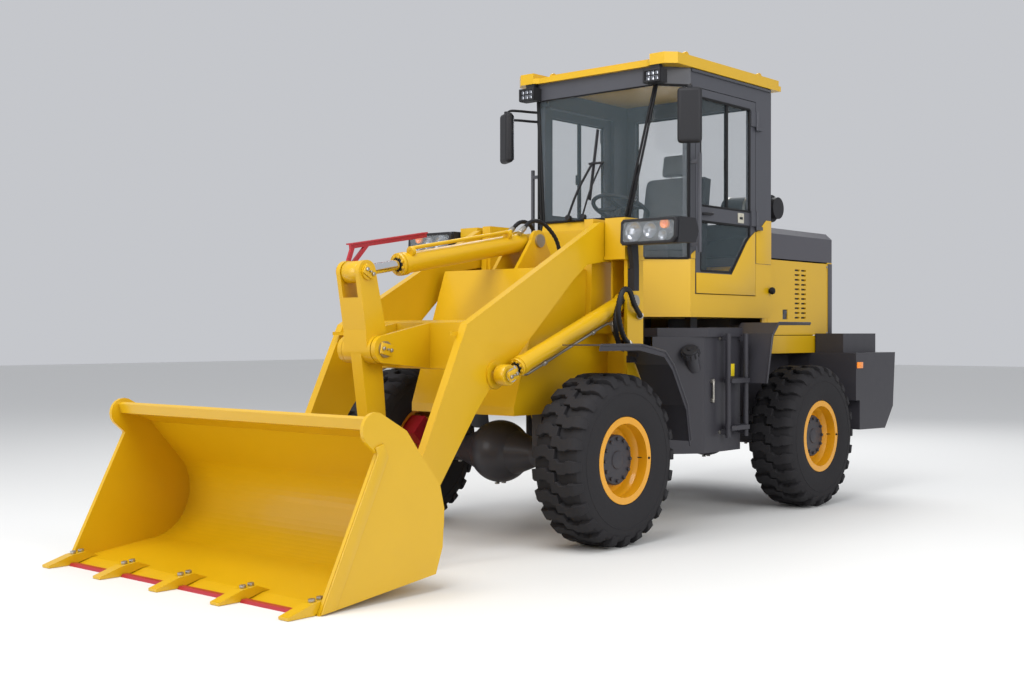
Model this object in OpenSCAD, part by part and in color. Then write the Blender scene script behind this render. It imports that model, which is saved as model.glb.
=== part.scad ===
// Compact articulated wheel loader with a single-rocker bucket linkage.
// Millimetres, +X forward, +Y left, +Z up, standing on Z = 0.

/* [Machine] */
// Distance between the axles
wheelbase = 2270; // [2200:5:2400]
// Distance between the tyre centres of one axle
track = 1550; // [1500:5:1640]
// Rear axle to the back of the counterweight
rear_overhang = 1206; // [1150:2:1300]
// Running clearance between moving pieces
gap = 5; // [4:0.5:8]
// Radial clearance of pins and rods
fit = 0.3; // [0.2:0.05:0.5]
// Plate thickness of panels and fenders
sheet = 6; // [4:1:10]

/* [Wheels] */
// Outer diameter over the tread lugs
tyre_d = 960; // [920:2:1000]
// Number of tread lugs in each row
lugs = 24; // [20:2:28]
// Height of a tread lug
tread_h = 28; // [20:1:34]
// Width of a tyre
tyre_w = 320; // [290:2:340]
// Diameter of the rim seat under the tyre bead
rim_seat_d = 457; // [440:1:470]
// Height of the rim flange above the seat
rim_lip = 13; // [8:1:20]
// Width of a rim over its flanges
rim_w = 284; // [260:2:300]
// Wall of the rim
rim_wall = 12; // [8:1:16]
// Diameter of the final drive hub
hub_d = 224; // [200:2:250]
// Diameter of the brake disc
disc_d = 350; // [320:2:370]
// Diameter of the axle spindle
spindle_d = 120; // [100:2:140]

/* [Axles] */
// Diameter of the axle tubes
axle_tube_d = 150; // [130:2:180]
// Diameter of the differential housing
diff_d = 370; // [340:5:400]

/* [Boom] */
// Middle of each boom arm, from the centre plane
arm_y = 480; // [470:1:486]
// Thickness of a boom arm plate
arm_t = 50; // [40:1:56]
// Diameter of the main pins
pin_d = 60; // [50:1:70]
// Height of the boom pivot
boom_pivot_z = 1720; // [1700:5:1750]
// Length of the crossbeam section
beam_l = 200; // [180:5:220]
// Wall of the crossbeam box
beam_wall = 14; // [10:1:20]

/* [Bucket] */
// Width of the bucket over its side plates
bucket_w = 1960; // [1900:10:2050]
// Outer radius of the rolled back
back_r = 272; // [260:1:285]
// Thickness of the bucket shell
shell_t = 16; // [12:1:22]
// Thickness of a bucket side plate
cheek_t = 20; // [14:1:26]
// Number of teeth
teeth = 5; // [3:1:7]
// Width of a tooth
tooth_w = 62; // [50:1:80]
// Reach of the teeth ahead of the cutting edge
tooth_reach = 150; // [120:5:180]

/* [Cylinders] */
// Outer diameter of a lift cylinder
lift_d = 95; // [80:1:98]
// Diameter of a lift cylinder rod
lift_rod_d = 50; // [40:1:60]
// Outer diameter of the tilt cylinder
tilt_d = 114; // [100:1:120]
// Diameter of the tilt cylinder rod
tilt_rod_d = 60; // [50:1:66]
// Outer diameter of a steering cylinder
steer_d = 72; // [60:1:80]
// Diameter of a steering cylinder rod
steer_rod_d = 36; // [30:1:45]

/* [Cab] */
// Half width of the cab
cab_half = 620; // [600:2:640]
// Height of the cab floor's underside
cab_floor_z = 1285; // [1260:5:1300]
// Height of the roof's underside
roof_z = 2850; // [2780:5:2900]
// Thickness of cab walls and doors
cab_wall = 30; // [24:1:40]
// Thickness of the glass
glass_t = 8; // [5:1:10]
// Thickness of the roof slab
roof_t = 60; // [45:1:80]

/* [Hood] */
// Half width of the engine hood
hood_half = 550; // [530:2:570]
// Height of the hood's lower edge
hood_low_z = 1040; // [1030:2:1060]
// Height of the hinge line of the engine doors
hood_hinge_z = 1702; // [1680:2:1720]
// Rows of vent slots in an engine door
vent_rows = 11; // [7:1:13]

/* [Tanks and steps] */
// Outer face of the side tanks, from the centre plane
tank_half = 720; // [700:2:735]
// Height of the tanks' underside
tank_low_z = 430; // [410:5:470]
// Height of the step platform's top
step_z = 1215; // [1195:5:1225]
// Diameter of ladder and grab tubes
tube_d = 34; // [28:1:40]

/* [Mounts] */
// Diameter of the tow pin bore in the counterweight
tow_bore_d = 42; // [36:1:50]
// Diameter of the lifting eye bores on the roof
lift_bore_d = 30; // [24:1:36]

/* [Hidden] */
$fn = 64;
axle_z = tyre_d / 2;
rear_x = -wheelbase;
// Lug tops lie so that their outer corners reach the tyre's diameter, one of them straight down
lug_top = sqrt(axle_z * axle_z - 45 * 45);
lug_phase = 90 - asin(45 / axle_z);
pivot_x = -wheelbase / 2;
half_track = track / 2;
bucket_tip_x = 2265;
rear_end_x = rear_x - rear_overhang;
origin_x = -(bucket_tip_x + tooth_reach + rear_end_x) / 2;

// Linkage points in the side plane, [x, z]
boom_pivot = [-420, boom_pivot_z];
bucket_pivot = [1300, 240];
rocker_pivot = [1090, 1097];
tilt_eye = [1160, 1505];
tilt_base = [-240, boom_pivot_z + 20];
rocker_low = [1014, 460];
bucket_link = [1460, 417];
lift_eye = [620, 960];
lift_base = [-450, 1370];
lift_y = arm_y + 94;
// Steering cylinder points in plan, [x, y]
steer_base = [pivot_x - 230, 170];
steer_eye = [pivot_x + 330, 280];
steer_z = 800;

arm_in = arm_y - arm_t / 2;
arm_out = arm_y + arm_t / 2;
bore_d = pin_d + 2 * fit;

yellow = [0.87, 0.66, 0.10];
orange = [0.92, 0.62, 0.12];
grey = [0.28, 0.28, 0.30];
black = [0.10, 0.10, 0.11];
red = [0.66, 0.15, 0.18];
steel = [0.75, 0.75, 0.76];
rubber = [0.22, 0.22, 0.23];
clear = [0.70, 0.78, 0.80, 0.5];

function arc(c, r, a0, a1, n) = [for (i = [0:n]) c + r * [cos(a0 + (a1 - a0) * i / n),
  sin(a0 + (a1 - a0) * i / n)]];
function heading(p, q) = atan2(q[1] - p[1], q[0] - p[0]);

// Placing helpers
module shifted() {
  translate([origin_x, 0, 0]) children();
}

module pair() {
  children();
  mirror([0, 1, 0]) children();
}

// A side outline [x, z] given thickness from y0 to y1
module side(y0, y1) {
  translate([0, y1, 0]) rotate([90, 0, 0]) linear_extrude(y1 - y0) children();
}

// A plan outline [x, y] given height from z0 to z1
module plan(z0, z1) {
  translate([0, 0, z0]) linear_extrude(z1 - z0) children();
}

// A front outline [y, z] given length from x0 to x1
module front(x0, x1) {
  translate([x0, 0, 0]) rotate([90, 0, 90]) linear_extrude(x1 - x0) children();
}

// A box between two corners
module block(a, b) {
  translate(a) cube(b - a);
}

// A pin along Y at a side point [x, z]
module cross_pin(p, y0, y1, d) {
  translate([p[0], y1, p[1]]) rotate([90, 0, 0]) cylinder(h = y1 - y0, d = d);
}

// A round bar along X
module long_pin(x0, x1, y, z, d) {
  translate([x0, y, z]) rotate([0, 90, 0]) cylinder(h = x1 - x0, d = d);
}

// A round bar in a side plane from p towards q, between two distances from p
module side_bar(p, q, y, s0, s1, d) {
  translate([p[0], y, p[1]]) rotate([0, 90 - heading(p, q), 0]) translate([0, 0, s0]) cylinder(h = s1 - s0,
    d = d);
}

// A flat bar outline between two side points
module bar2d(p, q, w) {
  translate(p) rotate(heading(p, q)) translate([0, -w / 2]) square([norm(q - p), w]);
}

module disc2d(p, d) {
  translate(p) circle(d = d);
}

// Wheels: a solid of revolution about the axle, its outer face towards +Y
module wheel_turn(x, hand) {
  translate([x, hand * half_track, axle_z]) rotate([-90 * hand, 0, 0]) rotate_extrude($fn = 96) children();
}

// Outline of half a tread lug, [round the tyre, across it]
lug_outline = [
  [-35, -16], [-35, 30], [-18, 60], [-30, 128], [35, 128], [45, 60], [25, 30], [25, -16]];
module tyre(x, hand) {
  r = tyre_d / 2;
  w = tyre_w / 2;
  bead = rim_seat_d / 2;
  half = [
    [bead, w - 30], [bead + rim_lip + 1, w - 30], [bead + rim_lip + 4, w - 16], [r - 160, w],
    [r - 70, w - 4], [r - tread_h - 12, w - 20], [r - tread_h, w - 52]];
  back = [for (i = [len(half) - 1:-1:0]) [half[i][0], -half[i][1]]];
  shifted() color(rubber) union() {
    wheel_turn(x, hand) polygon(concat(half, back));
    translate([x, hand * half_track, axle_z]) rotate([-90 * hand, 0, 0]) for (i = [0:lugs - 1], row = [0, 1])
      rotate([0, 0, lug_phase + (i + row / 2) * 360 / lugs]) mirror([0, 0, row])
        front(r - tread_h - 16, lug_top) polygon(lug_outline);
  }
}

module rim(x, hand) {
  seat = rim_seat_d / 2;
  tip = seat + rim_lip;
  w = rim_w / 2;
  cover = hub_d / 2 + 26;
  bead_y = tyre_w / 2 - 30;
  shifted() color(orange) wheel_turn(x, hand) polygon([
    [spindle_d / 2 + fit, -170], [hub_d / 2, -170], [hub_d / 2, -150], [disc_d / 2, -150],
    [disc_d / 2, -135], [hub_d / 2, -135], [hub_d / 2, 20], [seat - rim_wall, 20],
    [seat - rim_wall, -bead_y], [tip, -w], [tip, -bead_y], [seat, -bead_y], [seat, bead_y],
    [tip, bead_y], [tip, w], [seat - 2 * rim_wall, w], [seat - 2 * rim_wall, w - 60],
    [seat - 4 * rim_wall, 36], [cover, 36], [cover, 66], [cover - 10, 76],
    [0, 76], [0, 0], [spindle_d / 2 + fit, 0]]);
}

// Drive axles with a bulbous differential, spindles and mounting pads
module axle(x, nose, pad_in, pad_z) {
  shoulder = half_track - 170 - gap;
  color(grey) {
    difference() {
      union() {
        translate([x, 0, axle_z]) sphere(d = diff_d);
        cross_pin([x, axle_z], -shoulder, shoulder, axle_tube_d);
        pair() translate([x, 120, axle_z]) rotate([-90, 0, 0])
          cylinder(h = 160, d1 = diff_d * 0.72, d2 = axle_tube_d);
        cross_pin([x, axle_z], -half_track + gap, half_track - gap, spindle_d);
        long_pin(min(x, x + nose), max(x, x + nose), 0, axle_z, 150);
        pair() block([x - 90, pad_in, axle_z], [x + 90, pad_in + 70, pad_z]);
      }
    }
  }
}

module drive_line(p, q, d) {
  side_bar(p, q, 0, 0, norm(q - p), d);
  side_bar(p, q, 0, 30, 90, d * 1.6);
  side_bar(p, q, 0, norm(q - p) - 60, norm(q - p), d * 1.9);
}

joint_point = [pivot_x, 600];
module front_axle() {
  shifted() {
    axle(0, -240, 320, frame_low_z);
    color(grey) drive_line(joint_point + [60, 0], [-235, axle_z], 60);
  }
}

module rear_axle() {
  shifted() axle(rear_x, 240, 300, rail_low_z);
}

// Brake calipers, straddling the discs on their brackets
module brakes(x, turn) {
  y0 = half_track - 170 - gap;
  shifted() color(red) pair() translate([x, 0, axle_z]) rotate([0, turn, 0]) difference() {
    union() {
      block([75, y0 - 62, -70], [disc_d / 2 + 25, half_track - 112, 70]);
      translate([0, y0 - 20, 0]) rotate([90, 0, 0]) cylinder(h = 40, d = axle_tube_d + 90);
    }
    rotate([-90, 0, 0]) translate([0, 0, y0 - 90]) cylinder(h = 400, d = axle_tube_d + 0.4);
    rotate([-90, 0, 0]) translate([0, 0, y0 - 5]) cylinder(h = 400, d = hub_d + 4 * gap);
    rotate([-90, 0, 0]) translate([0, 0, half_track - 150 - gap]) cylinder(h = 15 + 2 * gap,
      d = disc_d + 4 * gap);
  }
}

// Front frame, lift towers and hinge forks
frame_low_z = 720;
frame_half = arm_in - 55;
frame_t = 25;
fork_upper_z = 1005;
fork_lower_z = 455;
lug_h = 40;
fork_t = 22;
tower_in = arm_in - 15;
tower_gap = arm_out + gap;
tower_out = lift_y + lift_d / 2 + 33;
tower_t = 12;
hinge_x = pivot_x + 395;
frame_rear = -560;
neck_half = 150;

module frame_outline() {
  polygon([
    [345, frame_low_z], [345, 770], [60, 1560], [-330, 1560], [-330, boom_pivot_z + 140],
    [-530, boom_pivot_z + 140], [frame_rear, 1120], [frame_rear, frame_low_z]]);
}

module fork_plan() {
  difference() {
    union() {
      polygon([[hinge_x + 20, neck_half - 5], [pivot_x, 95], [pivot_x, -95], [hinge_x + 20, -neck_half + 5]]);
      disc2d([pivot_x, 0], 190);
    }
    disc2d([pivot_x, 0], pin_d + 0.2);
  }
}

module tower() {
  x0 = boom_pivot[0] - 120;
  x1 = boom_pivot[0] + 65;
  top = boom_pivot_z + 140;
  ledge = 1635;
  // Plates beside the boom arm and outside the lift cylinder
  side(tower_gap, tower_gap + tower_t) polygon([[x0, 1280], [x0, top], [x1, top], [x1, ledge],
    [x1 - 60, ledge - 30], [x1 - 60, 1280]]);
  side(tower_out - tower_t * 2, tower_out) polygon([[x0, 900], [x0, top], [x1, top], [x1, ledge],
    [x1 - 25, ledge - 30], [x1 - 25, 900]]);
  block([x1 - tower_t, tower_gap, ledge], [x1, tower_out, top]);
  block([x0, tower_gap, top - tower_t], [x1, tower_out, top]);
  block([x0, tower_gap, ledge - 20], [x1 + 10, tower_out + 8, ledge]);
  block([x0, tower_gap, 1280], [x0 + tower_t, tower_out, top]);
  // Foot that carries the outer plate on the frame
  block([x0, frame_half - 2, 900], [x1 - 25, tower_out, 925]);
  block([x0, frame_half - 2, 900], [x0 + tower_t, tower_out, 1290]);
}

module front_frame() {
  shifted() color(yellow) difference() {
    union() {
      pair() {
        side(frame_half - frame_t, frame_half) frame_outline();
        side(frame_half - 1, tower_in) polygon([[frame_rear, 1180], [-530, boom_pivot_z + 140],
          [-330, boom_pivot_z + 140], [-300, 1180]]);
        tower();
        // Ears for the tilt cylinder
        side(tilt_d / 2 + 18, tilt_d / 2 + 43) union() {
          polygon([[-420, 1545], [-20, 1545], tilt_base + [60, 10], tilt_base + [-60, 10]]);
          disc2d(tilt_base, 130);
        }
        // Steering cylinder brackets
        for (z = [steer_z + 45, steer_z - 63])
          plan(z, z + 18) union() {
            polygon([steer_eye + [-40, -38], [hinge_x, neck_half - 20],
              [hinge_x + 120, neck_half - 20], steer_eye + [40, 38]]);
            disc2d(steer_eye, 110);
          }
        translate([steer_eye[0], steer_eye[1], steer_z + 62]) cylinder(h = 12, d = 64);
        // Neck plates that carry the hinge forks
        side(neck_half - 20, neck_half) polygon([
          [-430, frame_low_z + 1], [frame_rear + 15, 1115], [hinge_x, fork_upper_z + 55],
            [hinge_x, fork_lower_z - 47],
          [hinge_x + 140, fork_lower_z - 47]]);
      }
      side(-frame_half + 5, frame_half - 5) polygon([[345, frame_low_z], [345, 770], [60, 1560],
        [40, 1545], [322, 765], [322, frame_low_z]]);
      block([-500, -frame_half + 5, 1540], [60, frame_half - 5, 1560]);
      block([frame_rear, -frame_half + 5, frame_low_z], [345, frame_half - 5, frame_low_z + 20]);
      block([frame_rear, -frame_half + 5, frame_low_z], [frame_rear + 20, frame_half - 5, 1120]);
      block([hinge_x, -neck_half, fork_lower_z - 47], [hinge_x + 22, neck_half, fork_upper_z + 55]);
      block([hinge_x, -neck_half, fork_upper_z + 33], [frame_rear + 10, neck_half, fork_upper_z + 55]);
      for (z = [fork_upper_z, fork_lower_z]) {
        plan(z + lug_h / 2 + gap, z + lug_h / 2 + gap + fork_t) fork_plan();
        plan(z - lug_h / 2 - gap - fork_t, z - lug_h / 2 - gap) fork_plan();
      }
    }
    cross_pin(boom_pivot, -900, 900, pin_d + 0.2);
    cross_pin(tilt_base, -300, 300, 50.2);
    pair() cross_pin(lift_base, tower_gap - 1, 900, 50.2);
    // Passage for the drive shaft and the axle nose
    long_pin(hinge_x - 10, hinge_x + 60, 0, 590, 170);
  }
}

// Pins fixed in the front frame
module frame_pins() {
  shifted() color(steel) {
    for (z = [fork_upper_z, fork_lower_z]) {
      translate([pivot_x, 0, z - lug_h / 2 - gap - fork_t]) cylinder(h = lug_h + 2 * gap + 2 * fork_t,
        d = pin_d);
      translate([pivot_x, 0, z + lug_h / 2 + gap + fork_t]) cylinder(h = 14, d = pin_d + 40);
    }
    pair() {
      cross_pin(boom_pivot, frame_half - frame_t - 6, tower_out, pin_d);
      cross_pin(boom_pivot, tower_out, tower_out + 14, pin_d + 20);
      cross_pin(lift_base, tower_gap + 2, tower_out, 50);
      cross_pin(lift_base, tower_out, tower_out + 12, 76);
    }
    cross_pin(tilt_base, -tilt_d / 2 - 43, tilt_d / 2 + 43, 50);
    cross_pin(tilt_base, tilt_d / 2 + 43, tilt_d / 2 + 57, 80);
  }
}

// Front fenders with a wrapped rear edge
fender_in = tower_out + 6;
fender_out = half_track + tyre_w / 2 - 10;
module front_fenders() {
  top = [[240, 1120], [-130, 1120], [-370, 1080], [-460, 1000], [-607, 760], [-645, 550]];
  low = [for (i = [len(top) - 1:-1:0]) top[i] + (i > 2 ? [sheet, -2] : [0, -sheet])];
  shifted() color(grey) pair() {
    side(fender_in, fender_out) polygon(concat(top, low));
    side(fender_out - sheet, fender_out) polygon(concat(top, [for (p = low) p + [8, -28]]));
    block([-545, tower_out, 1010], [-370, fender_in + 20, 1050]);
    block([-460, tower_out, 1044], [-380, fender_in + 60, 1076]);
  }
}

// Headlamps on black brackets at the tower sides
lamp_z = 1765;
lamp_w = 390;
lamp_in = tower_out + 18;
lamp_h = 150;
module headlamps() {
  face = boom_pivot[0] + 110;
  shifted() color(black) pair() {
    side(lamp_in, lamp_in + lamp_w) polygon([
      [face, lamp_z + lamp_h / 2], [face + 10, lamp_z - lamp_h / 2], [face - 170, lamp_z - lamp_h / 2 + 10],
      [face - 200, lamp_z], [face - 170, lamp_z + lamp_h / 2]]);
    side(lamp_in, lamp_in + 30) polygon([
      [face - 40, lamp_z - lamp_h / 2 + 10], [face - 110, lamp_z - lamp_h / 2 + 10], [-430, 1580], [-430, 1430],
      [-380, 1430], [-380, 1560]]);
    block([-425, tower_out, 1440], [-385, lamp_in + 1, 1560]);
  }
}

// Rear frame: rails, bulkhead boxes and hinge lugs
rail_low_z = 600;
rail_top_z = hood_low_z;
rail_half = 360;
rail_t = 25;
bulk_x = pivot_x - 165;
module lug_plan() {
  difference() {
    union() {
      polygon([[bulk_x - 10, 230], [bulk_x, 230], [pivot_x, 90], [pivot_x, -90], [bulk_x, -230],
        [bulk_x - 10, -230]]);
      disc2d([pivot_x, 0], 180);
    }
    disc2d([pivot_x, 0], bore_d);
  }
}

module rear_frame() {
  shifted() color(grey) difference() {
    union() {
      pair() {
        side(rail_half - rail_t, rail_half) polygon([
          [bulk_x, fork_lower_z - 30], [bulk_x, rail_top_z], [rear_x - 560, rail_top_z], [rear_x - 560, 640],
          [rear_x - 300, rail_low_z], [rear_x + 300, rail_low_z], [bulk_x - 250, fork_lower_z - 30]]);
        for (z = [steer_z + 45, steer_z - 63])
          plan(z, z + 18) union() {
            polygon([
              steer_base + [-45, 0], steer_base + [45, 0],
              [steer_base[0] + 50, rail_half - 5], [steer_base[0] - 60, rail_half - 5]]);
            disc2d(steer_base, 90);
          }
        translate([steer_base[0], steer_base[1], steer_z - 70]) cylinder(h = 140, d = 36);
        // Outriggers that carry tanks, cab and fenders
        block([pivot_x - 380, rail_half - 5, 700], [pivot_x - 200, rail_half + 25, 900]);
        block([pivot_x - 420, rail_half - rail_t, rail_top_z - 60],
          [pivot_x - 340, rail_half + 20, cab_floor_z]);
        block([rear_x + 220, rail_half - rail_t, rail_top_z - 60], [rear_x + 300, rail_half + 20, cab_floor_z]);
      }
      block([bulk_x - 60, -rail_half + 5, fork_upper_z - 60], [bulk_x, rail_half - 5, rail_top_z]);
      block([bulk_x - 60, -rail_half + 5, fork_lower_z - 30], [bulk_x, rail_half - 5, fork_lower_z + 45]);
      block([rear_x - 560, -rail_half + 5, 660], [rear_x - 520, rail_half - 5, rail_top_z]);
      plan(fork_upper_z - lug_h / 2, fork_upper_z + lug_h / 2) lug_plan();
      plan(fork_lower_z - lug_h / 2, fork_lower_z + lug_h / 2) lug_plan();
    }
  }
}

// Engine, gearbox and the shafts behind the hinge, as plain masses
module powertrain() {
  box_front = pivot_x - 330;
  shifted() color(grey) {
    block([rear_x - 480, -250, 960], [rear_x + 120, 250, 1560]);
    block([rear_x - 400, -200, 860], [rear_x + 60, 200, 970]);
    block([rear_x + 110, -180, 690], [box_front, 180, 1010]);
    pair() block([rear_x - 300, 240, 1000], [rear_x - 220, rail_half - rail_t, 1030]);
    block([box_front - 200, -150, 500], [box_front, 150, 700]);
    drive_line(joint_point - [60, 0], [box_front - 5, 600], 60);
    drive_line([rear_x + 250, axle_z], [box_front - 195, 560], 60);
  }
}

// Counterweight with battery boxes and a tow pin bore
cw_front = rear_x - 560;
module counterweight() {
  half = 900;
  shifted() color(grey) difference() {
    union() {
      side(-half, half) polygon([
        [cw_front, 490], [rear_end_x + 170, 480], [rear_end_x + 34, 640], [rear_end_x, rail_top_z],
        [cw_front, rail_top_z]]);
      pair() block([rear_end_x + 80, hood_half + 10, rail_top_z - 1], [cw_front - 40, 780, rail_top_z + 140]);
    }
    block([rear_end_x - 10, -70, 700], [rear_end_x + 120, 70, 770]);
    translate([rear_end_x + 70, 0, 400]) cylinder(h = 900, d = tow_bore_d);
    // Notches at the inner ends, clear of the tyres
    pair() block([cw_front - 60, 700, 470], [cw_front + 1, 910, 700]);
  }
}

// Engine hood: cover, frame with rear grille, and side doors
hood_front_x = rear_x + 160;
hood_rear_x = rear_x - 870;
module hood_top() {
  z = hood_hinge_z + gap;
  outer = [[hood_half, z], [hood_half, z + 173], [hood_half - 50, z + 218], [hood_half - 250, z + 243]];
  inner = [
    [hood_half - sheet, z], [hood_half - sheet, z + 169], [hood_half - 54, z + 211],
      [hood_half - 251, z + 236]];
  left = [for (i = [len(outer) - 1:-1:0]) [-outer[i][0], outer[i][1]]];
  left_in = [for (i = [len(inner) - 1:-1:0]) [-inner[i][0], inner[i][1]]];
  shifted() color(grey) union() {
    front(hood_rear_x, hood_front_x) difference() {
      polygon(concat(outer, left));
      polygon(concat(inner, left_in));
    }
    front(hood_rear_x, hood_rear_x + sheet) polygon(concat(outer, left));
  }
}

post_l = 70;
door_t = 14;
hinge_pin_d = 12;
hinge_pin_l = 70;
module hood_frame() {
  strip_top = hood_low_z + 125;
  shifted() color(yellow) union() {
    pair() {
      block([hood_rear_x, hood_half - 14, hood_low_z], [hood_front_x, hood_half, strip_top]);
      block([hood_front_x - post_l, hood_half - 14, hood_low_z], [hood_front_x, hood_half, hood_hinge_z + gap]);
      block([hood_rear_x, hood_half - 14, hood_low_z], [hood_rear_x + post_l, hood_half, hood_hinge_z + gap]);
      block([hood_rear_x, hood_half - 130, hood_low_z], [hood_rear_x + 14, hood_half, hood_hinge_z + gap]);
      block([hood_rear_x, rail_half - 20, hood_low_z], [hood_front_x, hood_half - 1, hood_low_z + 12]);
    }
    block([hood_rear_x, -hood_half, hood_low_z], [hood_rear_x + 14, hood_half, hood_low_z + 110]);
    block([hood_rear_x, -hood_half, hood_hinge_z - 70], [hood_rear_x + 14, hood_half, hood_hinge_z + gap]);
    // Hinge pins of the engine doors
    pair() for (x = [hood_rear_x + post_l - 1, hood_front_x - post_l - hinge_pin_l + 1])
      long_pin(x, x + hinge_pin_l, hood_half - door_t, hood_hinge_z - door_t, hinge_pin_d);
    // Grille bars
    for (y = [-360:90:360])
      block([hood_rear_x + 2, y - 12, hood_low_z + 100], [hood_rear_x + 12, y + 12, hood_hinge_z - 60]);
  }
}

module engine_door(hand) {
  x0 = hood_rear_x + post_l + gap;
  x1 = hood_front_x - post_l - gap;
  z0 = hood_low_z + 125 + gap;
  slot_pitch = 34;
  shifted() color(yellow) scale([1, hand, 1]) difference() {
    union() {
      block([x0, hood_half - door_t, z0], [x1, hood_half, hood_hinge_z - 6]);
      for (x = [x0, x1 - hinge_pin_l])
        long_pin(x, x + hinge_pin_l, hood_half - door_t, hood_hinge_z - door_t, 2 * hinge_pin_d);
      block([x0 + 30, hood_half - 40, z0 + 30], [x1 - 30, hood_half - 13, z0 + 60]);
      block([x0 + 30, hood_half - 40, hood_hinge_z - 60], [x1 - 30, hood_half - 13, hood_hinge_z - 30]);
    }
    for (i = [0:vent_rows - 1])
      for (j = [0:1])
        block([rear_x - 470 + j * 95, hood_half - 50, hood_hinge_z - 75 - i * slot_pitch],
          [rear_x - 400 + j * 95, hood_half + 5, hood_hinge_z - 62 - i * slot_pitch]);
    for (x = [x0 - 1, x1 - hinge_pin_l - 1])
      long_pin(x, x + hinge_pin_l + 2, hood_half - door_t, hood_hinge_z - door_t, hinge_pin_d + 2 * fit);
    block([rear_x - 200, hood_half - 8, z0 + 110], [rear_x - 130, hood_half + 5, z0 + 180]);
  }
}

module air_cleaner() {
  shifted() color(black) {
    cross_pin([rear_x + 20, 2052], 190, 550, 190);
    cross_pin([rear_x + 20, 2052], 550, 600, 150);
    block([rear_x - 20, 120, 1950], [rear_x + 60, 240, 1990]);
  }
}

// Cab
cab_front = pivot_x + 335;
cab_corner = pivot_x + 30;
cab_rear = hood_front_x;
nose_half = 340;
sill_z = cab_floor_z + 145;
belt_z = 1650;
nose_z = 1905;
door_front = pivot_x - 28;
door_rear = cab_rear + 210;
header_z = roof_z - 110;

module cab_plan(inset) {
  polygon([
    [cab_front - inset, nose_half - inset * 0.4], [cab_corner - inset * 0.4, cab_half - inset],
      [cab_rear + inset, cab_half - inset],
    [cab_rear + inset, -cab_half + inset], [cab_corner - inset * 0.4, -cab_half + inset],
      [cab_front - inset, -nose_half + inset * 0.4]]);
}

module cab_base() {
  shifted() color(yellow) difference() {
    union() {
      plan(cab_floor_z, belt_z) cab_plan(0);
      side(-nose_half, nose_half) polygon([[cab_front, belt_z - 10], [cab_front, nose_z - 60],
        [cab_front - 20, nose_z], [cab_front - cab_wall, nose_z], [cab_front - cab_wall, belt_z - 10]]);
    }
    plan(cab_floor_z + 35, 2200) difference() {
      cab_plan(cab_wall);
      translate([cab_front - cab_wall, -nose_half]) square([200, 2 * nose_half]);
    }
    // Door openings
    block([door_rear - gap, -900, sill_z], [door_front + gap, 900, 2200]);
  }
}

module post(x0, x1, z0) {
  block([x0, cab_half - 60, z0], [x1, cab_half, header_z + 10]);
}

door_hinges = [1950, 2620];
grab_l = 620;
module cab_frame() {
  shifted() color(black) {
    // Hinge brackets and pins of the doors
    pair() for (z = door_hinges) {
      block([door_rear - 60, cab_half - 1, z - 74], [door_rear - gap - 3, cab_half + 25, z - 50 - fit]);
      block([door_rear - 20, cab_half + 2, z - 74], [door_rear - 2, cab_half + 25, z - 50 - fit]);
      translate([door_rear - 2, cab_half + 13, z - 74]) cylinder(h = 24 - fit, d = 22);
      translate([door_rear - 2, cab_half + 13, z - 60]) cylinder(h = 110, d = hinge_pin_d);
    }
    // Grab tubes on the front posts
    pair() translate([door_front + 45, cab_half + 60, belt_z + 40]) {
      cylinder(h = grab_l, d = 26);
      for (z = [40, grab_l - 60])
        block([-11, -62, z], [11, 0, z + 22]);
    }
    difference() {
      union() {
        plan(header_z, roof_z) polygon([
          [pivot_x + 215, 480], [cab_corner, cab_half], [cab_rear, cab_half],
          [cab_rear, -cab_half], [cab_corner, -cab_half], [pivot_x + 215, -480]]);
        pair() {
          post(door_front + gap, cab_corner, belt_z);
          post(cab_rear + 90, door_rear - gap, belt_z);
          post(cab_rear, cab_rear + 90, belt_z);
          block([cab_rear, cab_half - 130, belt_z], [cab_rear + 40, cab_half, header_z + 10]);
        }
        block([cab_rear, -cab_half, belt_z], [cab_rear + 40, cab_half, belt_z + 60]);
      }
      translate([0, 0, header_z - 20]) linear_extrude(400) polygon([
        [pivot_x + 165, 440], [cab_corner - 40, cab_half - 60], [cab_rear + 40, cab_half - 60],
        [cab_rear + 40, -cab_half + 60], [cab_corner - 40, -cab_half + 60], [pivot_x + 165, -440]]);
    }
  }
}

module cab_roof() {
  x0 = cab_front - 70;
  x1 = cab_rear - 100;
  half = cab_half + 20;
  shifted() color(yellow) difference() {
    union() {
      plan(roof_z, roof_z + roof_t - 25) polygon([
        [x0 - 20, 440], [x0, 470], [x0, half - 60], [x0 - 60, half], [x1, half],
        [x1, -half], [x0 - 60, -half], [x0, -half + 60], [x0, -470], [x0 - 20, -440]]);
      plan(roof_z, roof_z + roof_t) polygon([[x0 - 90, 400], [x1 + 60, 400], [x1 + 60, -400], [x0 - 90, -400]]);
      pair() plan(roof_z + 1, roof_z + roof_t + 10) polygon([[x0, 470], [x0, half - 60], [x0 - 60, half],
        [x1 + 30, half], [x1 + 30, 470]]);
      pair() for (x = [x0 - 300, x1 + 130]) side(532, 548) union() {
        translate([x - 40, roof_z + roof_t - 5]) square([80, 30]);
        disc2d([x, roof_z + roof_t + 30], 64);
      }
    }
    pair() for (x = [x0 - 300, x1 + 130]) cross_pin([x, roof_z + roof_t + 30], 500, 600, lift_bore_d);
  }
}

// A pane from a ring of points, thickened inward along a given direction
module pane(pts, inward) {
  n = len(pts);
  polyhedron(
    points = concat(pts, [for (p = pts) p + glass_t * inward]),
    faces = concat(
      [for (i = [1:n - 2]) [0, i, i + 1]],
      [for (i = [1:n - 2]) [n, n + i + 1, n + i]],
      [for (i = [0:n - 1]) [(i + 1) % n, i, n + i]],
      [for (i = [0:n - 1]) [(i + 1) % n, n + i, n + (i + 1) % n]]));
}

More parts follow.
